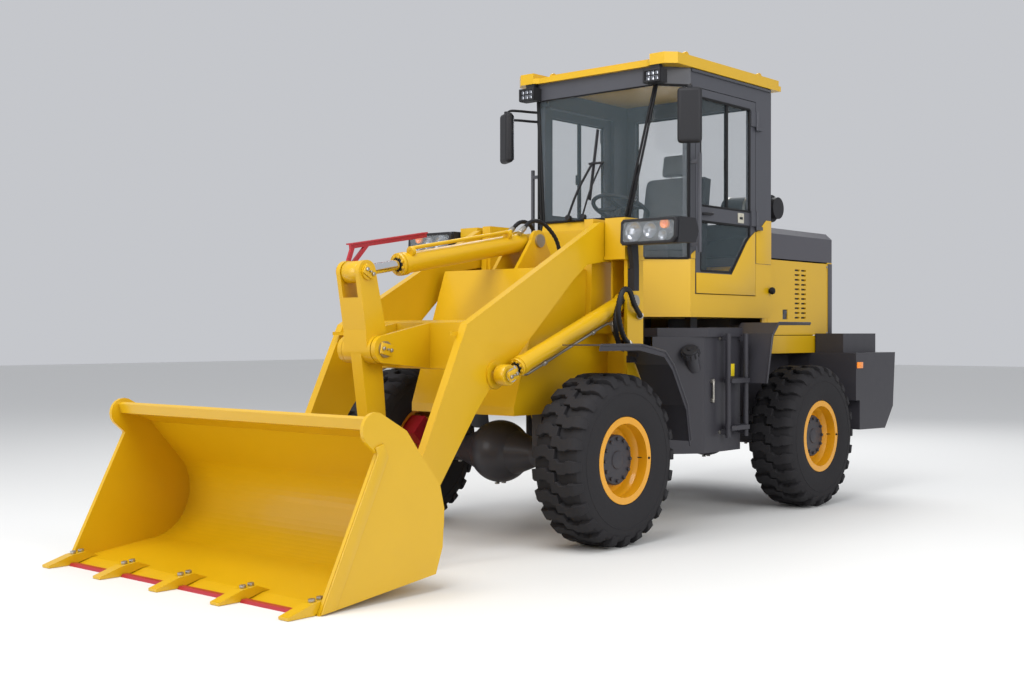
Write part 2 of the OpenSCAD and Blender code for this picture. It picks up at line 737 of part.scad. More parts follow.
module cab_glass() {
  low = [cab_front - 15, 330, nose_z + 3];
  top = [pivot_x + 205, 470, header_z - fit];
  corner_in = 12;
  shifted() color(clear) {
    pane([low, [low[0], -low[1], low[2]], [top[0], -top[1], top[2]], top], [-0.99, 0, -0.14]);
    pair() pane([
      [low[0] - 5, low[1] + 22, low[2]], [top[0] - 4, top[1] + 12, top[2]],
      [cab_corner + 7, cab_half - corner_in, header_z - fit],
        [cab_corner + 7, cab_half - corner_in, belt_z + fit],
      [cab_front - 10, nose_half + 12, belt_z + fit]], [-0.69, -0.72, 0]);
    block([cab_rear + 10, -cab_half + 130 + fit, belt_z + 60 + fit],
      [cab_rear + 10 + glass_t, cab_half - 130 - fit, header_z - fit]);
  }
}

module seat() {
  x = cab_rear + 455;
  shifted() color(black) {
    block([x - 180, -170, cab_floor_z + 35], [x + 160, 170, cab_floor_z + 330]);
    block([x - 240, -240, cab_floor_z + 330], [x + 240, 240, cab_floor_z + 450]);
    side(-230, 230) polygon([[x - 240, cab_floor_z + 440], [x - 130, cab_floor_z + 440],
      [x - 230, cab_floor_z + 980], [x - 310, cab_floor_z + 970]]);
  }
}

module dashboard() {
  x = cab_front - 240;
  shifted() color(black) {
    side(-300, 300) polygon([[cab_front - cab_wall - 6, cab_floor_z + 35],
      [cab_front - cab_wall - 6, nose_z - 20], [x + 20, nose_z - 60], [x - 10, nose_z - 160],
      [x + 90, cab_floor_z + 500], [x + 90, cab_floor_z + 35]]);
    side_bar([x + 40, 1700], [x - 170, 2010], 0, 0, 372, 46);
    translate([x - 170, 0, 2010]) rotate([0, -24, 0]) {
      rotate_extrude() translate([185, 0]) circle(d = 28, $fn = 24);
      block([-185, -14, -8], [185, 14, 8]);
      block([-14, -185, -8], [14, 185, 8]);
    }
  }
}

module door_outline() {
  polygon([[door_front, sill_z + gap], [door_front, header_z - gap], [door_rear, header_z - gap],
    [door_rear, sill_z + gap]]);
}

// The two window openings of a door, grown by a given border
module door_windows(grow) {
  band = 1945;
  offset(delta = grow) polygon([[door_front - 60, band + 50], [door_front - 60, header_z - 60],
    [door_rear + 70, header_z - 60], [door_rear + 70, band + 50]]);
  offset(delta = grow) polygon([[door_front - 60, 1580], [door_front - 60, band - 50],
    [door_rear + 70, band - 50], [door_rear + 70, 1830], [door_rear + 110, 1800], [door_rear + 300, 1580]]);
}

module door(hand) {
  shifted() color(black) scale([1, hand, 1]) {
    side(cab_half - cab_wall, cab_half) difference() {
      door_outline();
      door_windows(0);
    }
    for (z = door_hinges) difference() {
      union() {
        translate([door_rear - 2, cab_half + 13, z - 50]) cylinder(h = 100, d = 2 * hinge_pin_d);
        block([door_rear - 2, cab_half - 1, z - 50], [door_rear + 70, cab_half + 13, z + 50]);
      }
      translate([door_rear - 2, cab_half + 13, z - 60]) cylinder(h = 120, d = hinge_pin_d + 2 * fit);
    }
  }
}

module door_glass(hand) {
  y = cab_half - cab_wall / 2;
  shifted() color(clear) scale([1, hand, 1]) side(y - glass_t / 2, y + glass_t / 2) door_windows(-0.3);
}

// Mirrors on tube loops and work lamps under the roof
module mirrors() {
  x = cab_front - 110;
  shifted() color(black) pair() {
    block([x - 30, 690, 2345], [x + 30, 790, 2685]);
    block([x - 14, 600, 2690], [x + 14, 760, 2718]);
    block([x - 14, 735, 2680], [x + 14, 763, 2718]);
    block([cab_corner - 30, cab_half, 2690], [x + 14, cab_half + 22, 2718]);
  }
}

module work_lamps() {
  x = pivot_x + 218;
  shifted() color(black) pair() {
    block([x, 440, header_z - 5], [x + 70, 570, header_z + 80]);
    block([x + 4, 470, header_z + 70], [x + 40, 540, roof_z]);
  }
}

// Side tanks with a bevelled front corner and an inclined filler neck
module side_tanks() {
  x0 = pivot_x + 25;
  x1 = rear_x + 730;
  inner = rail_half + 25;
  neck_l = 110;
  shifted() color(grey) pair() {
    plan(tank_low_z, step_z - 55) polygon([
      [x1, inner], [x1, tank_half], [x0, tank_half], [x0 + 265, tank_half - 208], [x0 + 253, tank_half - 218],
      [x0 + 75, tank_half - 146], [x0 - 85, tank_half - 132], [x0 - 85, inner]]);
    translate([x0 + 30, tank_half - 60, 960]) rotate([0, 40, 20]) {
      cylinder(h = neck_l, d = 90);
      translate([0, 0, neck_l]) cylinder(h = 40, d = 110);
    }
  }
}

// Step platforms with tubular ladders
module steps() {
  x0 = pivot_x + 250;
  x1 = rear_x + 735;
  rail_back = rear_x + 750;
  rail_front = rail_back + 215;
  y = tank_half + tube_d / 2 + 36;
  shifted() color(grey) pair() {
    plan(step_z - 55, step_z) polygon([[x0, rail_half + 60], [x0, 520], [pivot_x + 20, tank_half + 20],
      [x1, tank_half + 20], [x1, rail_half + 60]]);
    for (x = [rail_front, rail_back]) {
      translate([x, y, 520]) cylinder(h = step_z - 555, d = tube_d);
      block([x - 14, tank_half, 540], [x + 14, y, 568]);
      block([x - 14, tank_half, step_z - 80], [x + 14, y, step_z - 52]);
    }
    for (z = [580, 880]) block([rail_back, y - 30, z - 14], [rail_front, y + 30, z + 14]);
  }
}

module rear_fenders() {
  x = rear_x;
  y0 = hood_half + 75;
  y1 = half_track + tyre_w / 2 - 30;
  shifted() color(grey) pair() {
    side(y0, y1) polygon([
      [x + 715, 860], [x + 640, 1180], [x + 560, 1252], [x + 130, 1252],
      [x + 130, 1236], [x + 552, 1236], [x + 624, 1168], [x + 698, 860]]);
    block([x + 220, rail_half + 20, 1160], [x + 300, y0 + 30, 1240]);
  }
}

// Boom
module boom_outline() {
  a = boom_pivot;
  b = bucket_pivot;
  polygon([
    a + [10, 118], a + [100, 115], [840, 1230], [1164, 571], b + [80, 45], b + [-70, -60], [1034, 416],
      [780, 752],
    lift_eye + [40, -70], lift_eye + [-60, -10], [-55, 1486], [-190, 1580], a + [40, -112]]);
  disc2d(a, 236);
  disc2d(b, 186);
  disc2d(lift_eye, 160);
}

module boom() {
  bx = 550;
  shifted() color(yellow) difference() {
    union() {
      pair() {
        side(arm_in, arm_out) boom_outline();
        cross_pin(lift_eye, arm_out - 1, arm_out + 12, 150);
        // Rocker ears and gussets
        side(115, 145) union() {
          polygon([[bx + beam_l - 10, 990],
            [bx + beam_l - 10, 1240], rocker_pivot + [10, 72], rocker_pivot + [10, -72]]);
          disc2d(rocker_pivot, 146);
        }
        plan(1170, 1190) polygon([[bx + beam_l - 5, arm_in + 2], [bx + beam_l - 5, arm_in - 120],
          [bx + beam_l + 170, arm_in + 2]]);
      }
      side(-arm_in - 2, arm_in + 2) difference() {
        polygon([[bx, 1010], [bx + 30, 980], [bx + beam_l, 990], [bx + beam_l, 1240], [bx + 40, 1255],
          [bx, 1200]]);
        polygon([
          [bx + beam_wall, 1016], [bx + 36, 994], [bx + beam_l - beam_wall, 1004],
            [bx + beam_l - beam_wall, 1226],
          [bx + 46, 1240], [bx + beam_wall, 1195]]);
      }
    }
    cross_pin(boom_pivot, -900, 900, bore_d);
    cross_pin(bucket_pivot, -900, 900, bore_d);
    cross_pin(rocker_pivot, -300, 300, bore_d);
  }
}

// Pins that turn with the linkage
module bucket_pins() {
  shifted() color(steel) pair() {
    cross_pin(bucket_pivot, arm_in - 34, arm_out + 34, pin_d);
    cross_pin(bucket_pivot, arm_out + 34, arm_out + 46, pin_d + 24);
  }
}

module rocker_pin() {
  shifted() color(steel) {
    cross_pin(rocker_pivot, -146, 146, pin_d);
    pair() cross_pin(rocker_pivot, 145 + fit, 157, pin_d + 26);
  }
}

module link_pin() {
  shifted() color(steel) {
    cross_pin(bucket_link, -98, 98, 50);
    pair() cross_pin(bucket_link, 98, 108, 74);
  }
}

// Bucket: rolled shell, side plates and hinge ears
floor_a = 6.6;
wrap_a = 139.7;
back_c = [1511 + back_r, 330];
lip = [1955, 818];
module bucket_shell() {
  up = [cos(wrap_a - 90), sin(wrap_a - 90)];
  knee = 285;
  outer = concat([[bucket_tip_x, 0]], arc(back_c, back_r, 270 - floor_a, wrap_a, 20),
    [back_c + back_r * [cos(wrap_a), sin(wrap_a)] + knee * up, lip]);
  r = back_r - shell_t;
  inner = concat(
    [lip + [12, -30], back_c + r * [cos(wrap_a), sin(wrap_a)] + (knee - 6) * up + [6, -4]],
    arc(back_c, r, wrap_a, 270 - floor_a, 20), [[bucket_tip_x - 90, 12 + shell_t]]);
  side(-bucket_w / 2 + 1, bucket_w / 2 - 1) polygon(concat(outer, inner));
  // Box section along the top lip
  side(-bucket_w / 2 + 1, bucket_w / 2 - 1) polygon([lip, lip + [22, -10], lip + [6, -58], lip + [-60,
    -72], lip + [-90, -30]]);
}

// An ear from a pin to the middle of the rolled shell, between two angles of its arc
module bucket_ear(p, d, a0, a1) {
  polygon(concat([p + [-10, d / 2]], arc(back_c, back_r - shell_t / 2, a0, a1, 8), [p + [10, -d / 2]]));
  disc2d(p, d);
}

module bucket() {
  shifted() color(yellow) difference() {
    union() {
      bucket_shell();
      pair() {
        side(bucket_w / 2 - cheek_t, bucket_w / 2) polygon(concat(
          [[bucket_tip_x, 0], [1935, 655]], arc([1940, 760], 78, -40, 110, 8),
          [[1752, 746], [1652, 620], [1540, 490], [1511, 376], [1522, 200], [1567, 81]]));
        // Hinge ears beside each boom arm
        for (y = [arm_in - 32, arm_out + gap + 2])
          side(y, y + 25) bucket_ear(bucket_pivot, 150, 160, 240);
        side(72, 94) bucket_ear(bucket_link, 100, 140, 180);
      }
    }
    cross_pin(bucket_pivot, -900, 900, bore_d);
    cross_pin(bucket_link, -300, 300, 50 + 2 * fit);
  }
}

tooth_span = bucket_w - 2 * cheek_t - tooth_w - 2;
tooth_pitch = tooth_span / (teeth - 1);
module bucket_teeth() {
  tip = bucket_tip_x + tooth_reach;
  shifted() color(yellow) for (i = [0:teeth - 1])
    translate([0, -tooth_span / 2 + i * tooth_pitch, 0]) side(-tooth_w / 2, tooth_w / 2) polygon([
      [bucket_tip_x - 130, 33], [bucket_tip_x - 60, 60], [bucket_tip_x + 20, 52], [tip, 14], [tip, 2],
      [bucket_tip_x + 3, 2], [bucket_tip_x + 3, 6], [bucket_tip_x - 88, 30.2]]);
}

// Red wear strips on the edge between the teeth
module edge_strips() {
  half_l = (tooth_pitch - tooth_w) / 2 - 4;
  shifted() color(red) for (i = [0:teeth - 2])
    translate([0, -tooth_span / 2 + (i + 0.5) * tooth_pitch, 0]) side(-half_l, half_l) polygon([
      [bucket_tip_x + 0.5, 0], [bucket_tip_x + 40, 0], [bucket_tip_x + 30, 14], [bucket_tip_x + 0.5, 14]]);
}

// Link straps between the bucket and the rocker's lower end
module link() {
  shifted() color(yellow) difference() {
    pair() side(46, 66) union() {
      bar2d(rocker_low, bucket_link, 80);
      disc2d(rocker_low, 100);
      disc2d(bucket_link, 96);
    }
    cross_pin(bucket_link, -300, 300, 50 + 2 * fit);
  }
}

// Rocker: fork above, boss at its pivot, single plate below
module rocker() {
  slot_z = tilt_eye[1] - 135;
  shifted() color(yellow) difference() {
    union() {
      side(-88, 88) union() {
        polygon([tilt_eye + [-62, 0], tilt_eye + [62, 0],
          [rocker_pivot[0] + 80, 1200], rocker_pivot + [75, 0], rocker_pivot + [-75, 0],
          [rocker_pivot[0] - 65, 1200]]);
        disc2d(tilt_eye, 124);
        disc2d(rocker_pivot, 150);
      }
      cross_pin(rocker_pivot, -115 + gap, 115 - gap, 150);
      side(-40, 40) union() {
        polygon([rocker_pivot + [75, 0], rocker_pivot + [-75, 0], rocker_low + [-58, 0], rocker_low + [58, 0]]);
        disc2d(rocker_low, 116);
      }
      pair() cross_pin(tilt_eye, 87, 100, 86);
    }
    block([500, -58, slot_z], [1700, 58, 1800]);
    cross_pin(rocker_pivot, -300, 300, bore_d);
  }
}

// Red level indicator bar on the rocker
module level_bar() {
  bar_y = -108;
  bar_front = tilt_eye + [-55, 145];
  bar_rear = bar_front + [-580, 94];
  shifted() color(red) {
    side(bar_y - 8, bar_y + 8) union() {
      bar2d(bar_front, bar_rear, 30);
      bar2d(tilt_eye + [-20, 0], bar_front + [-20, 0], 22);
      bar2d(tilt_eye + [-30, 5], bar_front + [-130, 20], 22);
      disc2d(tilt_eye + [-10, 5], 96);
    }
    side(bar_y - 30, bar_y + 18) bar2d(bar_front + [0, 11], bar_rear + [0, 11], 8);
  }
}

// Cylinders: eye and barrel on one body, rod and eye on the next
module barrel(p, q, y, d, rod_d, closed, eye_w, eye_bore) {
  difference() {
    union() {
      side_bar(p, q, y, d * 0.35, closed, d);
      side_bar(p, q, y, closed - 36, closed, d * 1.12);
      cross_pin(p, y - eye_w / 2, y + eye_w / 2, eye_bore * 1.9);
    }
    cross_pin(p, y - 200, y + 200, eye_bore + 2 * fit);
    side_bar(p, q, y, d * 0.9, closed + 10, rod_d + 2 * fit);
  }
}

module rod(p, q, y, d, start, eye_w, eye_d) {
  side_bar(p, q, y, start, norm(q - p) - eye_d * 0.35, d);
  cross_pin(q, y - eye_w / 2, y + eye_w / 2, eye_d);
}

lift_len = norm(lift_eye - lift_base);
tilt_len = norm(tilt_eye - tilt_base);
lift_gland = lift_len - 120;
tilt_gland = tilt_len - 330;

module lift_barrel(hand) {
  shifted() color(yellow) scale([1, hand, 1]) barrel(lift_base, lift_eye, lift_y, lift_d, lift_rod_d,
    lift_gland, 70, 50);
}

module lift_rod(hand) {
  shifted() color(steel) scale([1, hand, 1]) {
    rod(lift_base, lift_eye, lift_y, lift_rod_d, 180, 66, 104);
    cross_pin(lift_eye, arm_out + 14, lift_y + 44, 46);
    cross_pin(lift_eye, lift_y + 44, lift_y + 54, 74);
  }
}

module tilt_barrel() {
  shifted() color(yellow) {
    barrel(tilt_base, tilt_eye, 0, tilt_d, tilt_rod_d, tilt_gland, 140, 50);
    side_bar(tilt_base + [0, 80], tilt_eye + [0, 80], 30, 180, tilt_gland - 40, 22);
    for (s = [200, tilt_gland - 70])
      side_bar(tilt_base + [0, 62], tilt_eye + [0, 62], 30, s, s + 24, 52);
  }
}

module tilt_rod() {
  shifted() color(steel) rod(tilt_base, tilt_eye, 0, tilt_rod_d, 560, 104, 110);
}

steer_len = norm(steer_eye - steer_base);
steer_gland = steer_len * 0.64;
module steer_line(hand) {
  shifted() translate([steer_base[0], hand * steer_base[1], steer_z]) rotate([0, 0,
    hand * heading(steer_base, steer_eye)]) rotate([0, 90, 0]) children();
}

module steer_barrel(hand) {
  color(yellow) steer_line(hand) difference() {
    union() {
      translate([0, 0, 40]) cylinder(h = steer_gland - 40, d = steer_d);
      translate([0, 0, steer_gland - 30]) cylinder(h = 30, d = steer_d + 8);
      rotate([0, 90, 0]) cylinder(h = 80, d = 84, center = true);
    }
    rotate([0, 90, 0]) cylinder(h = 200, d = 36 + 2 * fit, center = true);
    translate([0, 0, 56]) cylinder(h = steer_len, d = steer_rod_d + 2 * fit);
  }
}

module steer_rod(hand) {
  color(steel) steer_line(hand) difference() {
    union() {
      translate([0, 0, 212]) cylinder(h = steer_len - 250, d = steer_rod_d);
      translate([0, 0, steer_len]) rotate([0, 90, 0]) cylinder(h = 60, d = 90, center = true);
    }
  }
}

rear_frame();
rear_axle();
brakes(rear_x, -135);  // rear_brakes
powertrain();
counterweight();
hood_top();
hood_frame();
cab_base();
cab_frame();
cab_roof();
cab_glass();
seat();
dashboard();
side_tanks();
steps();
rear_fenders();
mirrors();
work_lamps();
air_cleaner();
front_frame();
frame_pins();
front_axle();
brakes(0, -45);  // front_brakes
front_fenders();
headlamps();
boom();
bucket_pins();
bucket();
bucket_teeth();
edge_strips();
link_pin();
link();
rocker_pin();
rocker();
level_bar();
lift_barrel(1);  // lift_barrel_left
lift_barrel(-1);  // lift_barrel_right
lift_rod(1);  // lift_rod_left
lift_rod(-1);  // lift_rod_right
tilt_barrel();
tilt_rod();
steer_barrel(1);  // steer_barrel_left
steer_barrel(-1);  // steer_barrel_right
steer_rod(1);  // steer_rod_left
steer_rod(-1);  // steer_rod_right
tyre(0, 1);  // tyre_front_left
tyre(0, -1);  // tyre_front_right
tyre(rear_x, 1);  // tyre_rear_left
tyre(rear_x, -1);  // tyre_rear_right
rim(0, 1);  // rim_front_left
rim(0, -1);  // rim_front_right
rim(rear_x, 1);  // rim_rear_left
rim(rear_x, -1);  // rim_rear_right
door(1);  // door_left
door(-1);  // door_right
door_glass(1);  // door_glass_left
door_glass(-1);  // door_glass_right
engine_door(1);  // engine_door_left
engine_door(-1);  // engine_door_right
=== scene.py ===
"""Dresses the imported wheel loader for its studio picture.

Adds finishes, rounded tyres, hub covers, hoses, lamps and cab fittings to the part's own nodes.
"""
import logging
import math
from dataclasses import dataclass, field
from enum import Enum
from typing import Iterable, Sequence

import bpy
from mathutils import Matrix, Vector


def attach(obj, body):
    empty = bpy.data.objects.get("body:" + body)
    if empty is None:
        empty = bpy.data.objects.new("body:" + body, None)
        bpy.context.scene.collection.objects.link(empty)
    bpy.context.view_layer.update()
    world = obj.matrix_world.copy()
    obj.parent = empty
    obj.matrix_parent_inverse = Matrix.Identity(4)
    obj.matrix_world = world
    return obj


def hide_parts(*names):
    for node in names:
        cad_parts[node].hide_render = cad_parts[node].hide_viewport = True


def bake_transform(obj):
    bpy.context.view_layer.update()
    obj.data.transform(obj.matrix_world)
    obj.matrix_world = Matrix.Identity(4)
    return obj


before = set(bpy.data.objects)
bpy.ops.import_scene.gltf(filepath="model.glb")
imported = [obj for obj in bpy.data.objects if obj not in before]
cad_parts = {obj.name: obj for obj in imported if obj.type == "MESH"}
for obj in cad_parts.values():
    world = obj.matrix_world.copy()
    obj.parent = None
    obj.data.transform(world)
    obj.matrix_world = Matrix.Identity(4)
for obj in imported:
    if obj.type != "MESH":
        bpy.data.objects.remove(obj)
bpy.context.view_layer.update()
LOG = logging.getLogger("loader")
Point = tuple[float, float, float]
Flat = tuple[float, float]
Thing = bpy.types.Object

# The axles' places along the row frame, in metres.
FRONT_X, REAR_X = 0.5305, -1.7395
# The steering hinge and the rear axle ahead of the front axle, and the axles' height, in millimetres.
PIVOT_MM, REAR_MM, AXLE_MM = -1135.0, -2270.0, 480.0
MM = 0.001
HANDS = {"left": 1.0, "right": -1.0}


def at(x: float, y: float, z: float) -> Point:
    """A row frame point from millimetres ahead of the front axle, left of the middle and above ground."""
    return x * MM + FRONT_X, y * MM, z * MM


def flat(x: float, z: float) -> Flat:
    """A side outline's point from millimetres ahead of the front axle and above the ground."""
    return x * MM + FRONT_X, z * MM


def handed(points: Iterable[Point], sign: float) -> list[Point]:
    """Points given in millimetres for the left side, in the row frame on the side that the sign names."""
    return [at(x, sign * y, z) for x, y, z in points]


class Plane(Enum):
    """The plane that an outline is drawn in; it is extruded along the remaining axis."""

    SIDE = (0, 2, 1)
    FRONT = (1, 2, 0)


@dataclass(frozen=True)
class Finish:
    """A procedural surface: colour, gloss and the fine unevenness of a real coat.

    Its slot is the record's material slot that it stands for, and is empty for the floor; it is not used.
    """

    name: str
    slot: str
    colour: tuple[int, int, int]
    rough: float = 0.4
    metal: float = 0.0
    coat: float = 0.0
    grain: float = 40.0
    uneven: float = 0.08
    bump: float = 0.0
    alpha: float = 1.0
    glow: float = 0.0
    shine: float = 0.5

    def linear(self) -> tuple[float, float, float, float]:
        """The colour as linear RGBA."""
        return (*[(c / 255) ** 2.2 for c in self.colour], 1.0)

    def material(self) -> bpy.types.Material:
        """Builds the material once and returns it.

        Returns:
            The material with this finish's name.
        """
        found = bpy.data.materials.get(self.name)
        if found:
            return found
        made = bpy.data.materials.new(self.name)
        made.use_nodes = True
        shader = made.node_tree.nodes["Principled BSDF"]
        sockets = {
            "Base Color": self.linear(), "Metallic": self.metal, "Roughness": self.rough,
            "Specular IOR Level": self.shine, "Coat Weight": self.coat, "Coat Roughness": 0.12,
            "Alpha": self.alpha}
        if self.glow:
            sockets |= {"Emission Color": self.linear(), "Emission Strength": self.glow}
        for socket, value in sockets.items():
            shader.inputs[socket].default_value = value
        if self.uneven:
            self.weather(made.node_tree, shader)
        return made

    def weather(self, tree: bpy.types.NodeTree, shader: bpy.types.Node) -> None:
        """Adds slow variation of gloss and tone, and a fine grain.

        Args:
            tree: The material's node tree.
            shader: Its principled shader.
        """
        where = tree.nodes.new("ShaderNodeTexCoord")
        noise = tree.nodes.new("ShaderNodeTexNoise")
        noise.inputs["Scale"].default_value = self.grain
        noise.inputs["Detail"].default_value = 4.0
        tree.links.new(where.outputs["Object"], noise.inputs["Vector"])
        gloss = tree.nodes.new("ShaderNodeMapRange")
        gloss.inputs["To Min"].default_value = max(0.02, self.rough - self.uneven)
        gloss.inputs["To Max"].default_value = min(1.0, self.rough + self.uneven)
        tree.links.new(noise.outputs["Fac"], gloss.inputs["Value"])
        tree.links.new(gloss.outputs["Result"], shader.inputs["Roughness"])
        tone = tree.nodes.new("ShaderNodeMixRGB")
        dark = [c * (1 - self.uneven * 1.6) for c in self.linear()[:3]]
        tone.inputs["Color1"].default_value = (*dark, 1.0)
        tone.inputs["Color2"].default_value = self.linear()
        tree.links.new(noise.outputs["Fac"], tone.inputs["Fac"])
        tree.links.new(tone.outputs["Color"], shader.inputs["Base Color"])
        if self.bump:
            relief = tree.nodes.new("ShaderNodeBump")
            relief.inputs["Strength"].default_value = self.bump
            relief.inputs["Distance"].default_value = 0.002
            tree.links.new(noise.outputs["Fac"], relief.inputs["Height"])
            tree.links.new(relief.outputs["Normal"], shader.inputs["Normal"])


class Paint:
    """The machine's finishes."""

    YELLOW = Finish("yellow_enamel", "yellow_paint", (209, 164, 12), 0.38, coat=0.25, grain=6, uneven=0.04)
    RIM = Finish("rim_enamel", "rim_paint", (222, 154, 24), 0.33, coat=0.3, grain=12, uneven=0.05)
    GREY = Finish("grey_enamel", "grey_paint", (58, 57, 62), 0.42, coat=0.1, grain=14, uneven=0.07, shine=0.3)
    PALE = Finish("pale_grey_enamel", "grey_paint", (76, 75, 81), 0.42, coat=0.1, grain=14, uneven=0.05,
                  shine=0.35)
    BLACK = Finish("black_enamel", "black_paint", (72, 73, 79), 0.42, coat=0.1, grain=20, uneven=0.06,
                   shine=0.35)
    RED = Finish("red_enamel", "red_paint", (166, 36, 46), 0.4, coat=0.2, grain=20, uneven=0.06)
    STEEL = Finish("machined_steel", "pin_steel", (178, 174, 166), 0.34, metal=0.9, grain=90, uneven=0.1)
    CHROME = Finish("hard_chrome", "rod_chrome", (225, 226, 228), 0.12, metal=1.0, grain=60, uneven=0.03)
    TYRE = Finish("lug_rubber", "tyre_rubber", (47, 46, 48), 0.8, grain=55, uneven=0.1, bump=0.25, shine=0.2)
    GLASS = Finish("clear_glass", "window_glass", (120, 136, 144), 0.04, uneven=0.0, alpha=0.1)
    RUBBER = Finish("seal_rubber", "trim_plastic", (28, 28, 30), 0.6, grain=80, uneven=0.06, shine=0.25)
    HOSE = Finish("hose_rubber", "trim_plastic", (34, 34, 37), 0.5, grain=70, uneven=0.08, shine=0.3)
    VINYL = Finish("seat_vinyl", "seat_cloth", (44, 44, 48), 0.55, grain=150, uneven=0.08, bump=0.15)
    PLASTIC = Finish("black_plastic", "trim_plastic", (40, 40, 43), 0.55, grain=160, uneven=0.06, bump=0.1,
                     shine=0.3)
    LENS = Finish("lamp_glass", "window_glass", (190, 198, 204), 0.05, uneven=0.0, alpha=0.14)
    SILVER = Finish("reflector", "rod_chrome", (150, 152, 158), 0.14, metal=1.0, grain=30, uneven=0.04)
    AMBER = Finish("amber_lens", "trim_plastic", (236, 132, 24), 0.15, coat=0.5, uneven=0.0, glow=0.15)
    TAIL = Finish("tail_lens", "red_paint", (196, 28, 30), 0.15, coat=0.5, uneven=0.0, glow=0.1)
    LATCH = Finish("pale_latch", "pin_steel", (190, 186, 170), 0.4, grain=40, uneven=0.05)
    PLATE = Finish("blank_plate", "yellow_paint", (236, 208, 40), 0.45, grain=30, uneven=0.03)


class Shop:
    """Modelling steps shared by all sub-assemblies, each done with Blender's own operators."""

    @staticmethod
    def clear() -> None:
        """Leaves edit mode and deselects everything."""
        if bpy.context.object and bpy.context.object.mode != "OBJECT":
            bpy.ops.object.mode_set(mode="OBJECT")
        bpy.ops.object.select_all(action="DESELECT")

    @staticmethod
    def settle(name: str, bevel: float = 0.0, segments: int = 2, angle: float = 35.0) -> Thing:
        """Finishes the active mesh: transform applied, faces outward, edges rounded, smooth shading.

        Args:
            name: The object's name.
            bevel: Width of the rounded edges, 0 for none.
            segments: Steps in each rounded edge.
            angle: Edges sharper than this many degrees are rounded and stay creased.

        Returns:
            The finished object.
        """
        made = bpy.context.object
        made.name = made.data.name = name
        bpy.ops.object.transform_apply(location=True, rotation=True, scale=True)
        bpy.ops.object.mode_set(mode="EDIT")
        bpy.ops.mesh.select_all(action="SELECT")
        bpy.ops.mesh.remove_doubles(threshold=1e-6)
        bpy.ops.mesh.normals_make_consistent(inside=False)
        bpy.ops.object.mode_set(mode="OBJECT")
        if bevel:
            edge = made.modifiers.new("edge", "BEVEL")
            edge.width = bevel
            edge.segments = segments
            edge.limit_method = "ANGLE"
            edge.angle_limit = math.radians(angle)
            bpy.ops.object.modifier_apply(modifier=edge.name)
        bpy.ops.object.shade_smooth_by_angle(angle=math.radians(angle))
        return made

    @classmethod
    def box(cls, name: str, low: Point, high: Point, bevel: float = 0.004) -> Thing:
        """A block between two corners with rounded edges.

        Args:
            name: The object's name.
            low: One corner.
            high: The opposite corner.
            bevel: Width of the rounded edges.

        Returns:
            The block.
        """
        cls.clear()
        middle = [(a + b) / 2 for a, b in zip(low, high)]
        bpy.ops.mesh.primitive_cube_add(size=1, location=middle)
        bpy.context.object.scale = [abs(b - a) for a, b in zip(low, high)]
        return cls.settle(name, bevel)

    @classmethod
    def rod(
            cls, name: str, start: Point, end: Point, radius: float, sides: int = 24,
            bevel: float = 0.002) -> Thing:
        """A round or many-sided bar between two points with rounded ends.

        Args:
            name: The object's name.
            start: First end.
            end: Second end.
            radius: Radius of the bar.
            sides: Number of sides; 6 makes a hexagon head.
            bevel: Width of the rounded edges.

        Returns:
            The bar.
        """
        cls.clear()
        a, b = Vector(start), Vector(end)
        turn = (b - a).to_track_quat("Z", "Y").to_euler()
        bpy.ops.mesh.primitive_cylinder_add(
            vertices=sides, radius=radius, depth=(b - a).length, location=(a + b) / 2, rotation=turn)
        return cls.settle(name, bevel)

    @classmethod
    def face(cls, points: Sequence[Flat], plane: Plane, level: float) -> None:
        """Draws a filled outline as the active mesh, open in edit mode with all of it selected.

        Args:
            points: The outline in the plane's two axes.
            plane: Where the outline lies.
            level: Its place along the third axis.
        """
        cls.clear()
        bpy.ops.mesh.primitive_circle_add(vertices=len(points), radius=1, fill_type="NGON")
        first, second, third = plane.value
        for vertex, point in zip(bpy.context.object.data.vertices, points):
            vertex.co[first], vertex.co[second] = point
            vertex.co[third] = level
        bpy.ops.object.mode_set(mode="EDIT")
        bpy.ops.mesh.select_all(action="SELECT")

    @classmethod
    def thicken(cls, name: str, plane: Plane, depth: float, bevel: float) -> Thing:
        """Extrudes the selected faces across their plane and finishes the mesh.

        Args:
            name: The object's name.
            plane: Where the faces lie.
            depth: How far they are extruded along the third axis.
            bevel: Width of the rounded edges.

        Returns:
            The finished object.
        """
        move = [0.0, 0.0, 0.0]
        move[plane.value[2]] = depth
        bpy.ops.mesh.extrude_region_move(TRANSFORM_OT_translate={"value": move})
        bpy.ops.object.mode_set(mode="OBJECT")
        return cls.settle(name, bevel)

    @classmethod
    def outline(
            cls, name: str, points: Sequence[Flat], plane: Plane, low: float, high: float,
            bevel: float = 0.003) -> Thing:
        """A flat outline given thickness.

        Args:
            name: The object's name.
            points: The outline in the plane's two axes.
            plane: Where the outline lies.
            low: Start along the third axis.
            high: End along the third axis.
            bevel: Width of the rounded edges.

        Returns:
            The plate.
        """
        cls.face(points, plane, low)
        return cls.thicken(name, plane, high - low, bevel)

    @classmethod
    def plate(
            cls, name: str, points: Iterable[Flat], sign: float, near: float, far: float,
            bevel: float) -> Thing:
        """A plate parallel to the machine's side, from sizes in millimetres.

        Args:
            name: The object's name.
            points: Its outline, ahead of the front axle and above the ground.
            sign: 1 for the left side, -1 for the right.
            near: Distance of its inner face from the centre plane.
            far: Distance of its outer face.
            bevel: Width of the rounded edges.

        Returns:
            The plate.
        """
        low, high = sorted((sign * near * MM, sign * far * MM))
        return cls.outline(name, [flat(*p) for p in points], Plane.SIDE, low, high, bevel)

